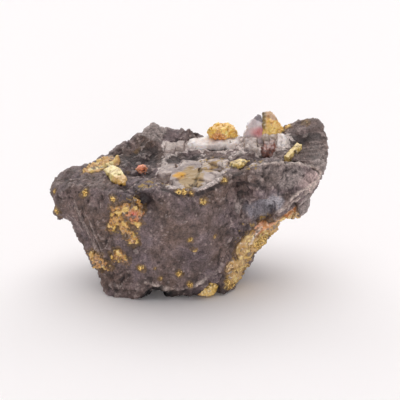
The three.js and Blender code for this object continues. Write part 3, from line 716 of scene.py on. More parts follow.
# %% Films of orpiment
GROUND = (
    # softly gilded: middle and radii in mm, softness of the edge
    ((-15.2, -15.5, 21.5), (4.6, 4, 5.6), 1), ((4, -7, 31), (9, 7, 2), 0.8),
)
SEAM_GROUND = ((18, -8, 13), (9, 6, 7), 0.8)
FILM_SPOT = ((18.4, -7.4, 11.8), (3, 4, 2.6))
THREADS = (
    # an egg, and the threads in it: their direction, spacing and length in mm, seed
    (((13.6, -9.6, 33), (5, 3, 1.6)), ((1, -0.1, 0.1), 0.7, 8, 79)),
    (((-8, -13, 29.6), (5, 3, 1.6)), ((1, -0.4, -0.2), 0.7, 5, 89)),
)
ground = np.maximum(any_of(p, *GROUND), within(p, *SEAM_GROUND) * ramp(up, 24, 20))
films = [ground * ramp(speckle, -0.1, 0.7), within(askew, *FILM_SPOT)]
films += [within(askew, *egg) * ramp(fibres(p, *drawn), 0, 0.4) for egg, drawn in THREADS]
print("films of orpiment:", len(films))

# %% Painting the shares
PAINTS = {
    "edge_highlight_and_grain": np.maximum.reduce([edges, grained * ramp(striations, 0.15, 0.5), bed_edges]),
    # painted shade: darker in the hollows of the relief and low under the lip
    "hollow_shade": np.maximum(ramp(relief(rock, 12), -0.04, -0.3), underside_shade),
    "cave_shade": within(p + 0.3 * speckle[:, None], *CAVE_SHADE),
    # painted shade in the grooves as well
    "dark": np.maximum(any_of(askew, *DARK_AND_SHADED), shade),
    "dim_shade": np.maximum(within(askew, *DIMPLE_SHADE), bed_shade),
    "pale_and_lit": np.maximum.reduce(pale_and_lit),
    "lit_rim": lit_rim,
    "sheen_highlight": within(askew, *SHEEN_HIGHLIGHT),
    "pink": pink,
    "glossy": glossy,
    "bedded": np.maximum(block, 0.3 * behind),
    "quartz": quartz,
    "gilt": np.maximum.reduce(films),
    "halo": halo,
    "stain": stain,
}
for name, values in PAINTS.items():
    paint(rock, name, values)
print("shares painted on the rock:", ", ".join(PAINTS))

# %% [markdown]
# ## The rock's material
# The rock is a purplish grey chert: fine quartz stained by clay and traces of ore. Its hue wanders
# between brown and violet over about 8 mm, its tone over 4 mm, and streaks of about 1 mm run down the
# face. It is dull to satin. Edges that stand out and the rims get a painted highlight, the hollows,
# pits and grooves painted shade, and pale specks are painted where small quartz faces would glint.
# Thin films of orpiment gild some places, and that is colour, not relief. Each layer
# is mixed over the last one, by a share painted on the points, with a noise that breaks its edge.

# %% Sizes for noises, and layers over a colour
EDGE_CUT = (0.85, 1.15)  # share and noise together, where a layer with a broken edge begins and is full


def wave(size):
    """A noise scale for features of this size in mm, on Object coordinates, which are in metres."""
    return 1000 / size


def layered(tree, look, layers):
    """The colour with layers over it: painted share, colour, strength, and a noise that breaks its edge."""
    for name, tint, strength, noise in layers:
        share = add(tree, "ShaderNodeAttribute", attribute_name=name).outputs["Fac"]
        if noise:
            total = add(tree, "ShaderNodeMath", {0: share, 1: noise}, operation="ADD").outputs[0]
            cut = {"Value": total, "From Min": EDGE_CUT[0], "From Max": EDGE_CUT[1]}
            share = add(tree, "ShaderNodeMapRange", cut).outputs["Result"]
        share = add(tree, "ShaderNodeMath", {0: share, 1: strength}, operation="MULTIPLY").outputs[0]
        tint = colour(tint) if isinstance(tint, str) else tint
        look = add(tree, "ShaderNodeMix", {"Factor": share, 6: look, 7: tint}, data_type="RGBA").outputs[2]
    return look


def set_ramp(node, stops):
    """Gives a colour ramp these stops of place and hex colour."""
    elements = node.color_ramp.elements
    while len(elements) < len(stops):
        elements.new(0.5)
    for element, (place, hex_value) in zip(elements, stops):
        element.position = place
        element.color = colour(hex_value)


print("scale of a noise with features of 1 mm:", wave(1))

# %% Chert: its noises and its own colour
# chert, broken and weathered: quartz too fine to see, so it looks dull and even, with a clay's purple
chert, tree = new_material("purplish_grey_chert")
place = add(tree, "ShaderNodeTexCoord").outputs["Object"]
STREAK_STRETCH = (1, 1, 0.65)  # below 1 draws a pattern out along that axis
drawn_out = add(tree, "ShaderNodeMapping", {"Vector": place, "Scale": STREAK_STRETCH}).outputs["Vector"]
NOISES = {
    # name: coordinates, size in mm, detail, roughness
    "cloud": (place, 8, 3, 0.55),
    "mottle": (place, 4, 6, 0.65),
    "streak": (drawn_out, 1.1, 4, 0.65),
    "fleck": (place, 1.1, 4, 0.65),
    "grit": (place, 0.42, 2, 0.7),  # the real grain is under 0.1 mm, so it is drawn coarser to show
}
noise = {}
for name, (vector, size, detail, rough) in NOISES.items():
    inputs = {"Vector": vector, "Scale": wave(size), "Detail": detail, "Roughness": rough}
    noise[name] = add(tree, "ShaderNodeTexNoise", inputs).outputs["Fac"]

hue = add(tree, "ShaderNodeValToRGB", {"Fac": noise["cloud"]})
set_ramp(hue, ((0.36, "#806a60"), (0.5, "#7f6d6a"), (0.62, "#7b6b6e")))
tone = add(tree, "ShaderNodeValToRGB", {"Fac": noise["mottle"]})
set_ramp(tone, ((0.3, "#8c8686"), (0.45, "#c8c3c3"), (0.56, "#e8e4e4"), (0.7, "#ffffff")))
inputs = {"Factor": 1.0, 6: hue.outputs[0], 7: tone.outputs[0]}
look = add(tree, "ShaderNodeMix", inputs, data_type="RGBA", blend_type="MULTIPLY").outputs[2]
print("noises in the chert:", ", ".join(noise))

# %% Chert: layers for what lies on it
ore = add(tree, "ShaderNodeValToRGB", {"Fac": noise["grit"]})
set_ramp(ore, ((0.32, "#7a5826"), (0.48, "#c0923e"), (0.66, "#f2d68a")))
CHERT_LAYERS = (
    # painted share, colour, strength, noise that breaks its edge
    ("bedded", "#77655f", 0.55, None),
    ("pale_and_lit", "#978a86", 0.85, noise["cloud"]),
    ("pink", "#c0a7a3", 0.85, None),
    ("glossy", "#77747c", 0.75, None),
    ("sheen_highlight", "#cbc7ce", 0.85, None),
    ("dark", "#332a2a", 0.7, noise["mottle"]),
    ("dim_shade", "#352c2d", 0.6, None),
    ("edge_highlight_and_grain", "#a2928d", 0.5, noise["fleck"]),
    ("hollow_shade", "#241c1e", 0.7, None),
    ("cave_shade", "#120e10", 0.9, None),
    ("lit_rim", "#cbbab1", 0.85, None),
    ("quartz", "#cfc1bc", 0.85, noise["fleck"]),
    ("gilt", "#a3843f", 0.75, noise["fleck"]),
    ("halo", "#75592f", 0.5, noise["fleck"]),
    ("stain", ore.outputs["Color"], 1.0, None),
)
look = layered(tree, look, CHERT_LAYERS)
UNEVEN = (
    # noise, and the brightness at its low and at its high
    ("streak", 0.66, 1.4), ("grit", 0.62, 1.46),
)
for source, low, high in UNEVEN:
    shift = {"Value": noise[source], "From Min": 0.34, "From Max": 0.66, "To Min": low, "To Max": high}
    amount = add(tree, "ShaderNodeMapRange", shift).outputs["Result"]
    inputs = {"Factor": 1.0, 6: look, 7: amount}
    look = add(tree, "ShaderNodeMix", inputs, data_type="RGBA", blend_type="MULTIPLY").outputs[2]
print("layers over the chert:", len(CHERT_LAYERS))

# %% Chert: painted glints, pale specks in the middles of about one cell in six
SPECK_SPACING = 1.3  # mm
GLINT_COLOUR = "#b8a49d"
SPECK_STRENGTH = 0.45
cells = add(tree, "ShaderNodeTexVoronoi", {"Vector": place, "Scale": wave(SPECK_SPACING)})
kind = add(tree, "ShaderNodeSeparateColor", {"Color": cells.outputs["Color"]}).outputs[0]
chosen = {"Value": kind, "From Min": 0.8, "From Max": 0.86}
chosen = add(tree, "ShaderNodeMapRange", chosen).outputs["Result"]
middle = {"Value": cells.outputs["Distance"], "From Min": 0.34, "From Max": 0.16}
speck = add(tree, "ShaderNodeMapRange", middle).outputs["Result"]
speck = add(tree, "ShaderNodeMath", {0: speck, 1: chosen}, operation="MULTIPLY").outputs[0]
speck = add(tree, "ShaderNodeMath", {0: speck, 1: SPECK_STRENGTH}, operation="MULTIPLY").outputs[0]
glint_speck = {"Factor": speck, 6: look, 7: colour(GLINT_COLOUR)}
look = add(tree, "ShaderNodeMix", glint_speck, data_type="RGBA").outputs[2]
print("specks are", SPECK_SPACING, "mm apart")

# %% Chert: dull to satin, with the glossy facet polished like glass
QUARTZ_IOR = 1.54
DULLNESS = {"From Min": 0.35, "From Max": 0.65, "To Min": 0.42, "To Max": 0.72}
POLISH = 0.2  # roughness of the glossy facet
GRIT_HEIGHT = 0.3 * MM
dull = add(tree, "ShaderNodeMapRange", {"Value": noise["fleck"], **DULLNESS}).outputs["Result"]
gloss = add(tree, "ShaderNodeAttribute", attribute_name="glossy").outputs["Fac"]
polished = add(tree, "ShaderNodeMix", {"Factor": gloss, "A": dull, "B": POLISH}).outputs[0]
lumps = add(tree, "ShaderNodeMath", {0: noise["fleck"], 1: noise["grit"]}, operation="ADD").outputs[0]
bump = add(tree, "ShaderNodeBump", {"Height": lumps, "Strength": 0.85, "Distance": GRIT_HEIGHT})
inputs = {"Base Color": look, "Roughness": polished, "IOR": QUARTZ_IOR, "Normal": bump.outputs["Normal"]}
stone = add(tree, "ShaderNodeBsdfPrincipled", inputs)
add(tree, "ShaderNodeOutputMaterial", {"Surface": stone.outputs[0]})
print("nodes in the chert:", len(tree.nodes))

# %% [markdown]
# ## Handing a piece over
# A finished piece gets its material and rides on the root, and the solid of the imported model that
# it stands for is hidden. A specimen stands flat on the table, so any point that the
# breaking has pushed below the floor is put back on it.


# %% Handing over the rock
def hand_over(piece, material, slot, *replaced):
    """Gives a finished piece its material and its place in the frame, with no point below the floor."""
    points = points_of(piece)
    points[:, 2] = np.maximum(points[:, 2], 0)
    place_points(piece, points)
    piece.data.materials.append(material)
    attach(piece, "root")
    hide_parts(*replaced)
    triangles = sum(len(face.vertices) - 2 for face in piece.data.polygons)
    print(piece.name, "triangles", triangles)


hand_over(rock, chert, "rock", "matrix")

# %% [markdown]
# ## Rooting the crystals
# A crystal doesn't sit on a rock, it grows out of it. The points of each crystal that lie near the
# rock's surface are pushed into it, so that the foot of the crystal disappears in the stone and the
# line where they meet follows the stone's own lumps.

# %% Pressing a crystal's foot into the rock
ROOT_DEPTH = 0.9  # mm that the foot goes down into the rock
ROOT_REACH = 0.8  # mm above the rock up to which points are pushed, less and less
rock_surface = BVHTree.FromObject(rock, bpy.context.evaluated_depsgraph_get())


def rooted(piece):
    """Pushes the points that lie near the rock into it."""
    points = points_of(piece)
    for i, point in enumerate(points):
        nearest, normal, _, _ = rock_surface.find_nearest(Vector(point) * MM)
        side = (Vector(point) * MM - nearest).dot(normal) / MM
        if side < ROOT_REACH:
            points[i] -= np.array(normal) * ROOT_DEPTH * min(1, (ROOT_REACH - side) / ROOT_REACH + 0.2)
    place_points(piece, points)


print("crystals are rooted by mm:", ROOT_DEPTH)

# %% [markdown]
# ## The minerals' materials
# Milky quartz is white because of tiny bubbles, so light enters it a little way and comes back:
# that is subsurface scattering. The clear crystal also lets some light through. Orpiment bends light
# more strongly than glass does (its index is about 2.4 to 3), so its faces shine like resin even
# where they are rough. Each mineral is mottled between its own colours at its grain's size, and a
# few painted shares add what only one place has: a golden stain, an orange heart, a brown tip.

# %% One mineral
GRAIN_BUMP = 0.1 * MM
GLOW_DEPTH = 1.2 * MM  # how far light wanders below the surface
GLOW_RADIUS = (1.0, 0.8, 0.6)  # red wanders furthest
FINER = 0.4  # size of the small mottling, as a share of the large
BAND = (0.33, 0.68)  # where on the large mottling the first colour ends and the last begins
GLINTING, DULLEST = 0.6, 1.4  # how far the roughness wanders, as shares of the mineral's own


def mineral(
    name, stops, grain, rough, ior, layers,
    subsurface=0.0, transmission=0.0, drawn=(1, 1, 1), turn=(0, 0, 0),
):
    """A mineral mottled between its colours at its grain's size in mm, with painted layers over it.

    The mottling can be drawn out along the axes and then turned (in degrees), for a fibrous mineral.
    """
    material, tree = new_material(name)
    place = add(tree, "ShaderNodeTexCoord").outputs["Object"]
    inputs = {"Vector": place, "Rotation": [math.radians(v) for v in turn], "Scale": drawn}
    place = add(tree, "ShaderNodeMapping", inputs, vector_type="TEXTURE").outputs["Vector"]
    inputs = {"Vector": place, "Scale": wave(grain), "Detail": 4, "Roughness": 0.68}
    large = add(tree, "ShaderNodeTexNoise", inputs).outputs["Fac"]
    inputs = {"Vector": place, "Scale": wave(grain * FINER), "Detail": 3, "Roughness": 0.65}
    small = add(tree, "ShaderNodeTexNoise", inputs).outputs["Fac"]
    band = add(tree, "ShaderNodeValToRGB", {"Fac": large})
    places = np.linspace(*BAND, len(stops))
    set_ramp(band, [(float(place), hex_value) for place, hex_value in zip(places, stops)])
    noises = {"large": large, "small": small, None: None}
    chosen = [(share, tint, strength, noises[noise]) for share, tint, strength, noise in layers]
    look = layered(tree, band.outputs["Color"], chosen)
    bump = add(tree, "ShaderNodeBump", {"Height": small, "Strength": 0.7, "Distance": GRAIN_BUMP})
    dull = {"Value": small, "To Min": rough * GLINTING, "To Max": rough * DULLEST}
    dull = add(tree, "ShaderNodeMapRange", dull).outputs["Result"]
    inputs = {
        "Base Color": look,
        "Roughness": dull,
        "IOR": ior,
        "Normal": bump.outputs["Normal"],
        "Subsurface Weight": subsurface,
        "Subsurface Radius": GLOW_RADIUS,
        "Subsurface Scale": GLOW_DEPTH,
        "Transmission Weight": transmission,
    }
    body = add(tree, "ShaderNodeBsdfPrincipled", inputs)
    add(tree, "ShaderNodeOutputMaterial", {"Surface": body.outputs[0]})
    return material


print("light wanders in a mineral by mm:", GLOW_DEPTH / MM)

# %% The quartzes
# milky quartz, broken: white, with a soft glow and a glassy glint where a face lies right
milky_quartz = mineral(
    "milky_quartz", ("#cfc2be", "#f0e3de", "#fdf7f4"), 2.8, 0.34, QUARTZ_IOR,
    (("dark", "#6a4f55", 0.85, "large"), ("hollow_shade", "#7d6e6c", 0.6, None)),
    subsurface=0.35,
)
# quartz with iron and ore in it: greyer and pinker, and tan to golden where orpiment films it
stained_quartz = mineral(
    "iron_stained_quartz", ("#7a6c6c", "#ab9b96", "#dccdc4"), 2.0, 0.34, QUARTZ_IOR,
    (
        ("white", "#cdbeb8", 0.45, "large"), ("tan", "#ad8c4a", 0.75, "small"),
        ("golden", "#d79c18", 1.0, None), ("olive", "#6f5b2c", 0.8, None), ("hollow_shade", "#54474a", 0.7, None),
    ),
    subsurface=0.3, drawn=(1.8, 1, 0.8),
)
# clear quartz, grown: smoother and lit from inside, with red realgar that shows through it
clear_quartz = mineral(
    "clear_quartz", ("#d4c6c9", "#eadedf", "#f8f0ef"), 2.2, 0.24, QUARTZ_IOR,
    (("grey", "#8d858c", 0.85, "large"), ("red", "#e4767a", 0.75, None), ("hollow_shade", "#a08088", 0.4, None)),
    subsurface=0.3, transmission=0.15,
)
print("quartzes:", milky_quartz.name, stained_quartz.name, clear_quartz.name)

# %% The orpiments
ORPIMENT_IOR = 2.4
# granular orpiment, grown: a crust of bright yellow grains, each with its own resinous point of light
granular_orpiment = mineral(
    "granular_orpiment", ("#d69224", "#ffc63e", "#ffec86"), 1.0, 0.4, ORPIMENT_IOR,
    (
        ("bright", "#ffd466", 0.85, "large"), ("orange", "#dd8530", 0.8, "small"),
        ("brown", "#b08050", 0.85, "small"), ("olive", "#6b5a34", 0.8, None),
        ("white", "#cbbbb4", 0.9, "small"), ("hollow_shade", "#a06a1c", 0.65, None),
    ),
    subsurface=0.2,
)
# cleaved orpiment: lemon yellow, pearly, and drawn out along the blade, as mica is in layers
cleaved_orpiment = mineral(
    "cleaved_orpiment", ("#b8953c", "#ecd47e", "#fff6c4"), 1.3, 0.3, ORPIMENT_IOR,
    (("gold", "#d49c38", 0.8, "small"), ("hollow_shade", "#85692a", 0.7, None)),
    subsurface=0.12, drawn=(3, 1, 0.8), turn=(0, -28, 40),
)
# weathered orpiment: the same blade gone olive where light and air have dulled it
olive_orpiment = mineral(
    "weathered_orpiment", ("#977434", "#e0bb56", "#fbeaa4"), 1.2, 0.36, ORPIMENT_IOR,
    (("hollow_shade", "#4d4128", 0.85, None),),
)
# orpiment crust: cells from brown to yellow, with painted shade in their hollows, painted light on some
# cells, and orange places
crusty_orpiment = mineral(
    "orpiment_crust", ("#6e481a", "#c4842a", "#ecb646"), 0.9, 0.42, ORPIMENT_IOR,
    (
        ("gold", "#d29a30", 0.6, "large"), ("orange", "#cc6e2a", 0.75, "large"),
        ("bright", "#f6ce62", 0.7, "small"), ("cream", "#fae39a", 0.8, "small"),
        ("red", "#d8553a", 0.9, None), ("hollow_shade", "#4e3518", 0.8, "small"),
    ),
    subsurface=0.08,
)
# fibrous orpiment, which has filled a crack: satin, with threads of cream, gold and orange
fibrous_orpiment = mineral(
    "fibrous_orpiment", ("#735026", "#be8840", "#eac87e"), 0.9, 0.38, ORPIMENT_IOR,
    (
        ("gold", "#cfa24a", 0.55, "large"), ("bright", "#fbdc84", 0.7, "small"),
        ("orange", "#d68650", 0.8, "large"), ("cream", "#e6d2bc", 0.7, "small"),
        ("hollow_shade", "#5c401e", 0.8, "small"),
    ),
    subsurface=0.15, drawn=(4, 1, 1), turn=(0, -35, 14),
)
ORPIMENTS = (granular_orpiment, cleaved_orpiment, olive_orpiment, crusty_orpiment, fibrous_orpiment)
print("orpiments:", ", ".join(made.name for made in ORPIMENTS))

# %% The realgars
REALGAR_IOR = 2.5
# realgar, fresh: orange-red and so translucent that a grain of it glows
red_realgar = mineral(
    "realgar", ("#ee6a30", "#ff8a4c", "#ffb680"), 1.0, 0.4, REALGAR_IOR,
    (("hollow_shade", "#c0502a", 0.35, None),),
    subsurface=0.5,
)
# realgar in quartz: darkened to red-brown, with the quartz showing pale between its grains
brown_realgar = mineral(
    "weathered_realgar", ("#542a24", "#88483a", "#c07050"), 0.8, 0.42, REALGAR_IOR,
    (("white", "#a5938f", 0.6, "small"), ("hollow_shade", "#3c2420", 0.7, None)),
)
print("realgars:", red_realgar.name, brown_realgar.name)

# %% [markdown]
# ## The crystal groups
# Each group starts from its own solid, made fine and a little rounded, rooted, and then broken into
# grains of its mineral's own size. Quartz breaks in few, large, smooth faces. Orpiment that grew in
# grains is knobbly at about a millimetre. Blades of orpiment and realgar are striped along their
# length, because they cleave that way.

# %% The groups and their grain
GROUPS = (
    # node, voxel (mm), rounds of rounding, grain's size, step and tilt (mm), stripes' direction and
    # depth (mm), material, slot
    ("quartz_ledge", 0.2, 12, 4.2, 0.04, 0.16, (1, 0, 0.2), 0.05, milky_quartz, "quartz"),
    ("quartz_left", 0.2, 8, 2.6, 0.1, 0.35, (1, 0, 0.4), 0.12, stained_quartz, "quartz"),
    ("quartz_front", 0.2, 8, 3.2, 0.12, 0.42, (0.7, 0.5, 0.5), 0.08, stained_quartz, "quartz"),
    ("quartz_middle", 0.2, 6, 2.8, 0.08, 0.35, (0, 0, 1), 0.1, stained_quartz, "quartz"),
    ("quartz_right", 0.18, 6, 2.2, 0.08, 0.3, (0.3, 0, 1), 0.08, milky_quartz, "quartz"),
    ("quartz_crystal", 0.16, 2, 2.4, 0.06, 0.2, (0, 0, 1), 0.06, clear_quartz, "clear_quartz"),
    ("orpiment_crystal", 0.16, 3, 1.0, 0.12, 0.28, (0.2, 0, 1), 0.06, granular_orpiment, "orpiment"),
    ("orpiment_cluster", 0.16, 8, 0.9, 0.18, 0.36, (0, 0, 1), 0.0, granular_orpiment, "orpiment"),
    ("orpiment_blade_left", 0.16, 10, 2.2, 0.02, 0.08, (0.5, -0.8, 0.1), 0.1, cleaved_orpiment, "orpiment"),
    ("orpiment_blade_right", 0.14, 2, 1.8, 0.02, 0.05, (0.62, 0.55, 0.3), 0.12, olive_orpiment, "orpiment"),
    ("orpiment_blade_middle", 0.15, 4, 1.8, 0.05, 0.15, (1, -0.1, 0.1), 0.12, olive_orpiment, "orpiment"),
    ("orpiment_lump", 0.18, 6, 1.4, 0.08, 0.18, (1, 0, 0.2), 0.05, crusty_orpiment, "orpiment"),
    ("realgar_brown", 0.15, 4, 1.2, 0.1, 0.24, (0.05, 0, 1), 0.18, brown_realgar, "realgar"),
    ("realgar_grain", 0.14, 5, 1.1, 0.1, 0.25, (0, 0, 1), 0.05, red_realgar, "realgar"),
)
STRIPE = 0.6  # spacing of the stripes in mm
STRIPE_LENGTH = 8  # mm
SMALL_GRAIN = 0.4  # size of the grains on a grain, as a share of it
SMALL_HEIGHT = 0.25  # and their height, as a share of its height
UNEVENNESS = 0.1  # height of the swells on every group (mm)
ROUND = {"orpiment_cluster": 0.7, "realgar_grain": 0.6}  # how far a group is swollen out to an egg
THINNER = {"orpiment_blade_right": 0.1, "orpiment_blade_middle": 0.2}  # in mm
LEAN = {"quartz_crystal": (0.55, 0, 0), "orpiment_crystal": (-0.25, 0, 0)}  # how far it grows aside (mm)
FIRST_SEED = 40  # each group has the next one, so that no two are broken alike
print("groups of each mineral:", dict(collections.Counter(slot for *_, slot in GROUPS)))

# %% Growing each group
grown = {}
for seed, (node, voxel, rounding, grain, step, slope, along, depth, *_) in enumerate(GROUPS, FIRST_SEED):
    piece = fine_copy(node, node + "_grown", voxel, rounding)
    p = points_of(piece)
    middle, radii = (p.max(0) + p.min(0)) / 2, (p.max(0) - p.min(0)) / 2
    away = (p - middle) / radii
    egg = away / np.linalg.norm(away, axis=1)[:, None]
    swollen = away + (egg - away) * ROUND.get(node, 0)
    lean = np.array(LEAN.get(node, (0, 0, 0)))
    side = np.maximum(normals_of(piece) @ np.sign(lean), 0)[:, None]
    place_points(piece, middle + swollen * radii + lean * side)
    rooted(piece)
    p = points_of(piece)
    level, tilt = broken(p, grain, seed)
    small_level, small_tilt = broken(p, grain * SMALL_GRAIN, seed + 50)
    height = step * level + slope * tilt + SMALL_HEIGHT * (step * small_level + slope * small_tilt)
    height += UNEVENNESS * swells(p, 1.6, seed + 90)
    height += depth * fibres(p, along, STRIPE, STRIPE_LENGTH, seed + 100)
    height -= THINNER.get(node, 0)
    move(piece, height)
    # painted shade in the hollows of each group
    paint(piece, "hollow_shade", ramp(relief(piece, 9), -0.02, -0.24))
    grown[node] = piece
print("groups grown:", len(grown))

# %% [markdown]
# ## What only one place on a crystal has
# The crystals differ from place to place, and that is what makes each one itself: the stained quartz
# has a golden heart with tan threads beside it, the clear crystal has a red one and a grey tip, and
# the largest orpiment is brown above, has painted light in the middle and is white at its foot. Each is a
# share painted on the points of one piece, which its material already has a layer for.


# %% Accents on the quartz
def accents(node, **shares):
    """Paints these shares on the group or crust that has grown from this node."""
    for name, values in shares.items():
        paint(grown[node], name, values)


GOLDEN_HEART = (-2.4, -11, 31)
CREASE = ((2.7, -9.4, 31.8), (1.9, -12, 31), (0.8, -15.9, 29.8))
STREAK = ((5.6, -8.6, 33), (4, -10.4, 32.2), (6.8, -9.8, 32.8))
FAN = ((0.6, -12, 30.6), (3.2, 5.4, 2.6), 0.8)
THREADED = ((6, -9.4, 32.4), (3.6, 3, 1.8), 0.8)
WHITE_BLOCKS = (((5, -13, 31.2), (2.8, 4, 2.2), 0.9), ((-2.4, -15, 29.6), (3.4, 3, 1.2), 0.9))
SHADED_SLIT = ((4.6, 4.6, 30.6), (10.2, 4.2, 31.2))
RED_HEART = ((17.6, 8.2, 35.3), (1.9, 4, 1.2), 1.4)
p = points_of(grown["quartz_front"])
blur = 0.5 * swells(p, 1.6, 75) + 0.3 * swells(p, 0.8, 76)
threads = within(p, *THREADED) * ramp(fibres(p, (1, 0.3, 0.5), 0.8, 6, 78), 0, 0.3)
tan = np.maximum.reduce([within(p, *FAN), beside(p, STREAK, 1.0), threads])
accents(
    "quartz_front",
    golden=ramp(from_point(p, GOLDEN_HEART) + blur, 2.1, 0.9),
    tan=tan * ramp(blur, -0.7, 0),
    white=any_of(p, *WHITE_BLOCKS),
    olive=beside(p, CREASE, 0.6),
)
p = points_of(grown["quartz_ledge"])
# painted shade along the slit under the ledge
accents("quartz_ledge", dark=beside(p, SHADED_SLIT, 0.9))
p = points_of(grown["quartz_crystal"])
tip = ramp(p[:, 2] + 0.4 * (p[:, 0] - 16), 38, 39.4)
accents("quartz_crystal", grey=tip, red=within(p, *RED_HEART))
print("clear crystal's points in its grey tip:", int(tip.sum()))

# %% Accents on the orpiment and the realgar
ORANGE_EDGE = ((23, 9, 36.6), (1.2, 3, 1.8), 0.8)
ORANGE_HEART = ((7.4, 7.2, 34.4), (1.9, 2, 1.4), 0.8)
p = points_of(grown["orpiment_crystal"])
across, _, up = p.T
accents(
    "orpiment_crystal",
    brown=ramp(up + 0.35 * (across - 21), 38.0, 39.4),
    # painted light over the middle of the crystal
    bright=ramp(up, 38.2, 37),
    olive=ramp(across, 19.6, 18.9) * ramp(up, 35.6, 36.6),
    white=ramp(up + 0.5 * swells(p, 1.2, 87), 35.4, 34.6),
    orange=0.45 * within(p, *ORANGE_EDGE),
)
p = points_of(grown["orpiment_cluster"])
accents("orpiment_cluster", orange=within(p, *ORANGE_HEART))
p = points_of(grown["orpiment_blade_left"])
accents("orpiment_blade_left", gold=ramp(p[:, 1], -8.2, -10.2))
p = points_of(grown["orpiment_lump"])
# the lump is golden, with painted light on its right side
accents("orpiment_lump", gold=np.ones(len(p)), bright=ramp(p[:, 0] + 0.4 * swells(p, 1, 88), 2.4, 3.2))
p = points_of(grown["realgar_brown"])
accents("realgar_brown", white=ramp(p[:, 2], 33.2, 34.4))
for node, *_, material, slot in GROUPS:
    hand_over(grown[node], material, slot, node)

# %% [markdown]
# ## Crusts of orpiment
# A crust follows the rock's own surface, so it is made from it: the faces of the rock that lie under
# the crust's solid are copied, lifted, given grains and a thickness, and left to sink at the edges.
# The long seam under the shoulder is fibrous, because orpiment that fills a crack grows across it.

# %% The crusts, and where rock stands through them
CRUSTS = (
    # node, lift (mm), cell's size (mm) and relief, stripes' direction and depth (mm), how ragged the
    # edge is, seed, material
    ("orpiment_patch_front", 0.45, 1.1, 1.8, (0.2, 0, 1), 0.1, 0.27, 61, crusty_orpiment),
    ("orpiment_crust_left", 0.45, 1.0, 1.4, (0.8, 0.5, 0.2), 0.3, 0.35, 62, crusty_orpiment),
    ("orpiment_seam", 0.4, 1.3, 0.9, (0.8, 0.2, 0.56), 0.3, 0.3, 63, fibrous_orpiment),
    ("orpiment_crust_foot", 0.45, 1.1, 1.8, (0, 0, 1), 0.1, 0.42, 64, crusty_orpiment),
    ("orpiment_spot_front", 0.45, 1.1, 1.8, (0, 0, 1), 0.1, 0.3, 65, crusty_orpiment),
)
BARE_ROCK = (
    ((18.6, -6.8, 11.6), (2.6, 4, 2.3)),
    REGIONS["bare foot of the block"],
    ((-20.6, -13, 13.4), (1.6, 4, 1.8)),
)
print("crusts:", len(CRUSTS))

# %% Copying the rock's faces
NEAR = 2.0  # only the rock within this distance (mm) of the crust's solid is looked at
TAKEN = 1.6  # its faces within this distance (mm) become the crust


def stored(piece, name):
    """The vectors kept under this name."""
    flat = np.empty(len(piece.data.vertices) * 3, np.float32)
    piece.data.attributes[name].data.foreach_get("vector", flat)
    return flat.reshape(-1, 3).astype(float)


def forget(piece, names):
    """Removes what was painted or stored under these names and isn't read any more."""
    for name in names:
        piece.data.attributes.remove(piece.data.attributes[name])


def faces_under(node):
    """A new piece with copies of the rock's faces that lie under the node's solid, made finer."""
    near = distance_to(stored(rock, "unbroken"), node, NEAR) < TAKEN
    choose(rock)
    for part in (rock.data.vertices, rock.data.edges):
        part.foreach_set("select", np.zeros(len(part), bool))
    for face in rock.data.polygons:
        face.select = any(near[i] for i in face.vertices)
    bpy.ops.object.mode_set(mode="EDIT")
    bpy.ops.mesh.select_mode(type="FACE")
    bpy.ops.mesh.duplicate()
    bpy.ops.mesh.separate(type="SELECTED")
    bpy.ops.object.mode_set(mode="OBJECT")
    piece = next(o for o in bpy.context.selected_objects if o is not rock)
    piece.name = node + "_grown"
    piece.parent = None
    piece.data.materials.clear()
    for key in list(piece.keys()):  # removes any custom properties copied from the rock
        del piece[key]
    forget(piece, PAINTS)
    modify(piece, "SUBSURF", subdivision_type="SIMPLE", levels=1, render_levels=1)
    return piece


print("faces of the rock to choose from:", len(rock.data.polygons))

# %% Growing each crust
SUNK = 0.6  # how far a crust's edge lies under the rock's surface (mm)
CRUST_DEPTH = 0.3  # thickness of a crust (mm)
COVERED = (0.85, 0.5)  # distance (mm) from the solid where the cover begins and where it is full
CRUST_ROUNDS = 3  # rounds of smoothing, so that a crust doesn't repeat the rock's own grain


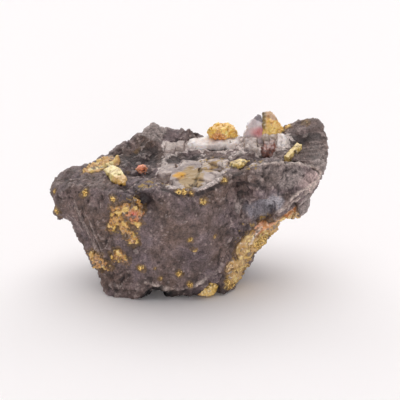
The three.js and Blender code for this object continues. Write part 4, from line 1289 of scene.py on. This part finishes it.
def crust_over(node, lift, grain, grains, along, stripes, ragged, seed):
    """A closed crust over the rock faces that lie under the node's solid."""
    piece = faces_under(node)
    points = stored(piece, "unbroken")
    away = distance_to(points, node, NEAR)
    away += ragged * (0.5 + swells(points, 1.6, seed) + 0.6 * swells(points, 0.7, seed + 10))
    cover = ramp(away, *COVERED)
    for egg in BARE_ROCK:
        cover *= 1 - within(points + 0.6 * swells(points, 1.5, 77)[:, None], *egg)
    rough = 0.14 * swells(points, 1.4, seed + 30) + stripes * fibres(points, along, 0.7, 9, seed + 50)
    bent = shaken(points, 1.1, 0.45, seed + 70)
    for cell in (grain * 0.5, grain):
        level, tilt = broken(bent, cell, seed + 40)
        rough += grains * cell * (0.14 * level + 0.3 * tilt)
    height = cover * (SUNK + lift + rough) - SUNK
    place_points(piece, smoothed(piece, CRUST_ROUNDS) + stored(piece, "outward") * height[:, None])
    # a cell, or a thread where the crust is striped, is painted lit or shaded as a whole, and its hollows
    # and sinking edge are painted in shade
    tone = (1 - stripes) * level + 2.4 * stripes * fibres(bent, along, 0.9, 5, seed + 60)
    shaded_parts = [ramp(relief(piece, 10), -0.04, -0.26), ramp(cover, 0.95, 0.6), ramp(tone, -0.3, -0.85)]
    paint(piece, "bright", ramp(tone, 0.15, 0.8))
    paint(piece, "hollow_shade", np.maximum.reduce(shaded_parts))
    forget(piece, ("unbroken", "outward"))
    modify(piece, "SOLIDIFY", thickness=CRUST_DEPTH * MM, offset=-1)
    return piece


for node, *rules, material in CRUSTS:
    grown[node] = crust_over(node, *rules)
    print(node, "points:", len(grown[node].data.vertices))
forget(rock, ("unbroken", "outward"))

# %% [markdown]
# ## Accents on the crusts
# The patch on the front turns orange to the right, where a little realgar sits in it. The long seam is
# orange along its upper edge, gold below, and has a cream line where its fibres meet. These are the
# same kind of painted share as on the crystals.

# %% Accents on the crusts
PATCH_ORANGE = ((-13.4, -16, 22.6), (2.2, 4, 1.6), 1.2)
PATCH_GOLD = ((-15.4, -16, 20.6), (3, 4, 3), 1)
PATCH_RED = (((-13.2, -16.4, 23.2), (0.7, 1.5, 0.6), 0.8), ((-10.8, -16.8, 22.8), (0.4, 1.5, 0.7), 0.8))
LOBE_CREAM = ((-25, -1, 28.6), (-21, 1, 29), (-19.4, 1, 29.6))
SEAM_CREAM = ((17.8, -9, 16.4), (16, -9, 14.2), (15.2, -9, 12))
SEAM_END = (28, 20.2)  # across and up (mm) where the seam's middle line ends at the right
SEAM_SLOPE = 0.55  # how steeply it runs
p = points_of(grown["orpiment_patch_front"])
accents(
    "orpiment_patch_front",
    orange=within(p, *PATCH_ORANGE),
    gold=within(p, *PATCH_GOLD),
    red=any_of(p, *PATCH_RED),
)
p = points_of(grown["orpiment_crust_left"])
accents("orpiment_crust_left", gold=np.ones(len(p)), cream=beside(p, LOBE_CREAM, 0.8))
p = points_of(grown["orpiment_seam"])
across, _, up = p.T
band = up - (SEAM_END[1] - (SEAM_END[0] - across) * SEAM_SLOPE) + 0.6 * swells(p, 2, 72)
accents(
    "orpiment_seam",
    orange=ramp(band, -0.2, 0.9) * ramp(across, 15, 17),
    gold=np.maximum(ramp(across, 17, 14), ramp(band, 0.2, -0.6)),
    cream=beside(p, SEAM_CREAM, 0.6),
)
for node, *_, material in CRUSTS:
    hand_over(grown[node], material, "orpiment_crust", node)
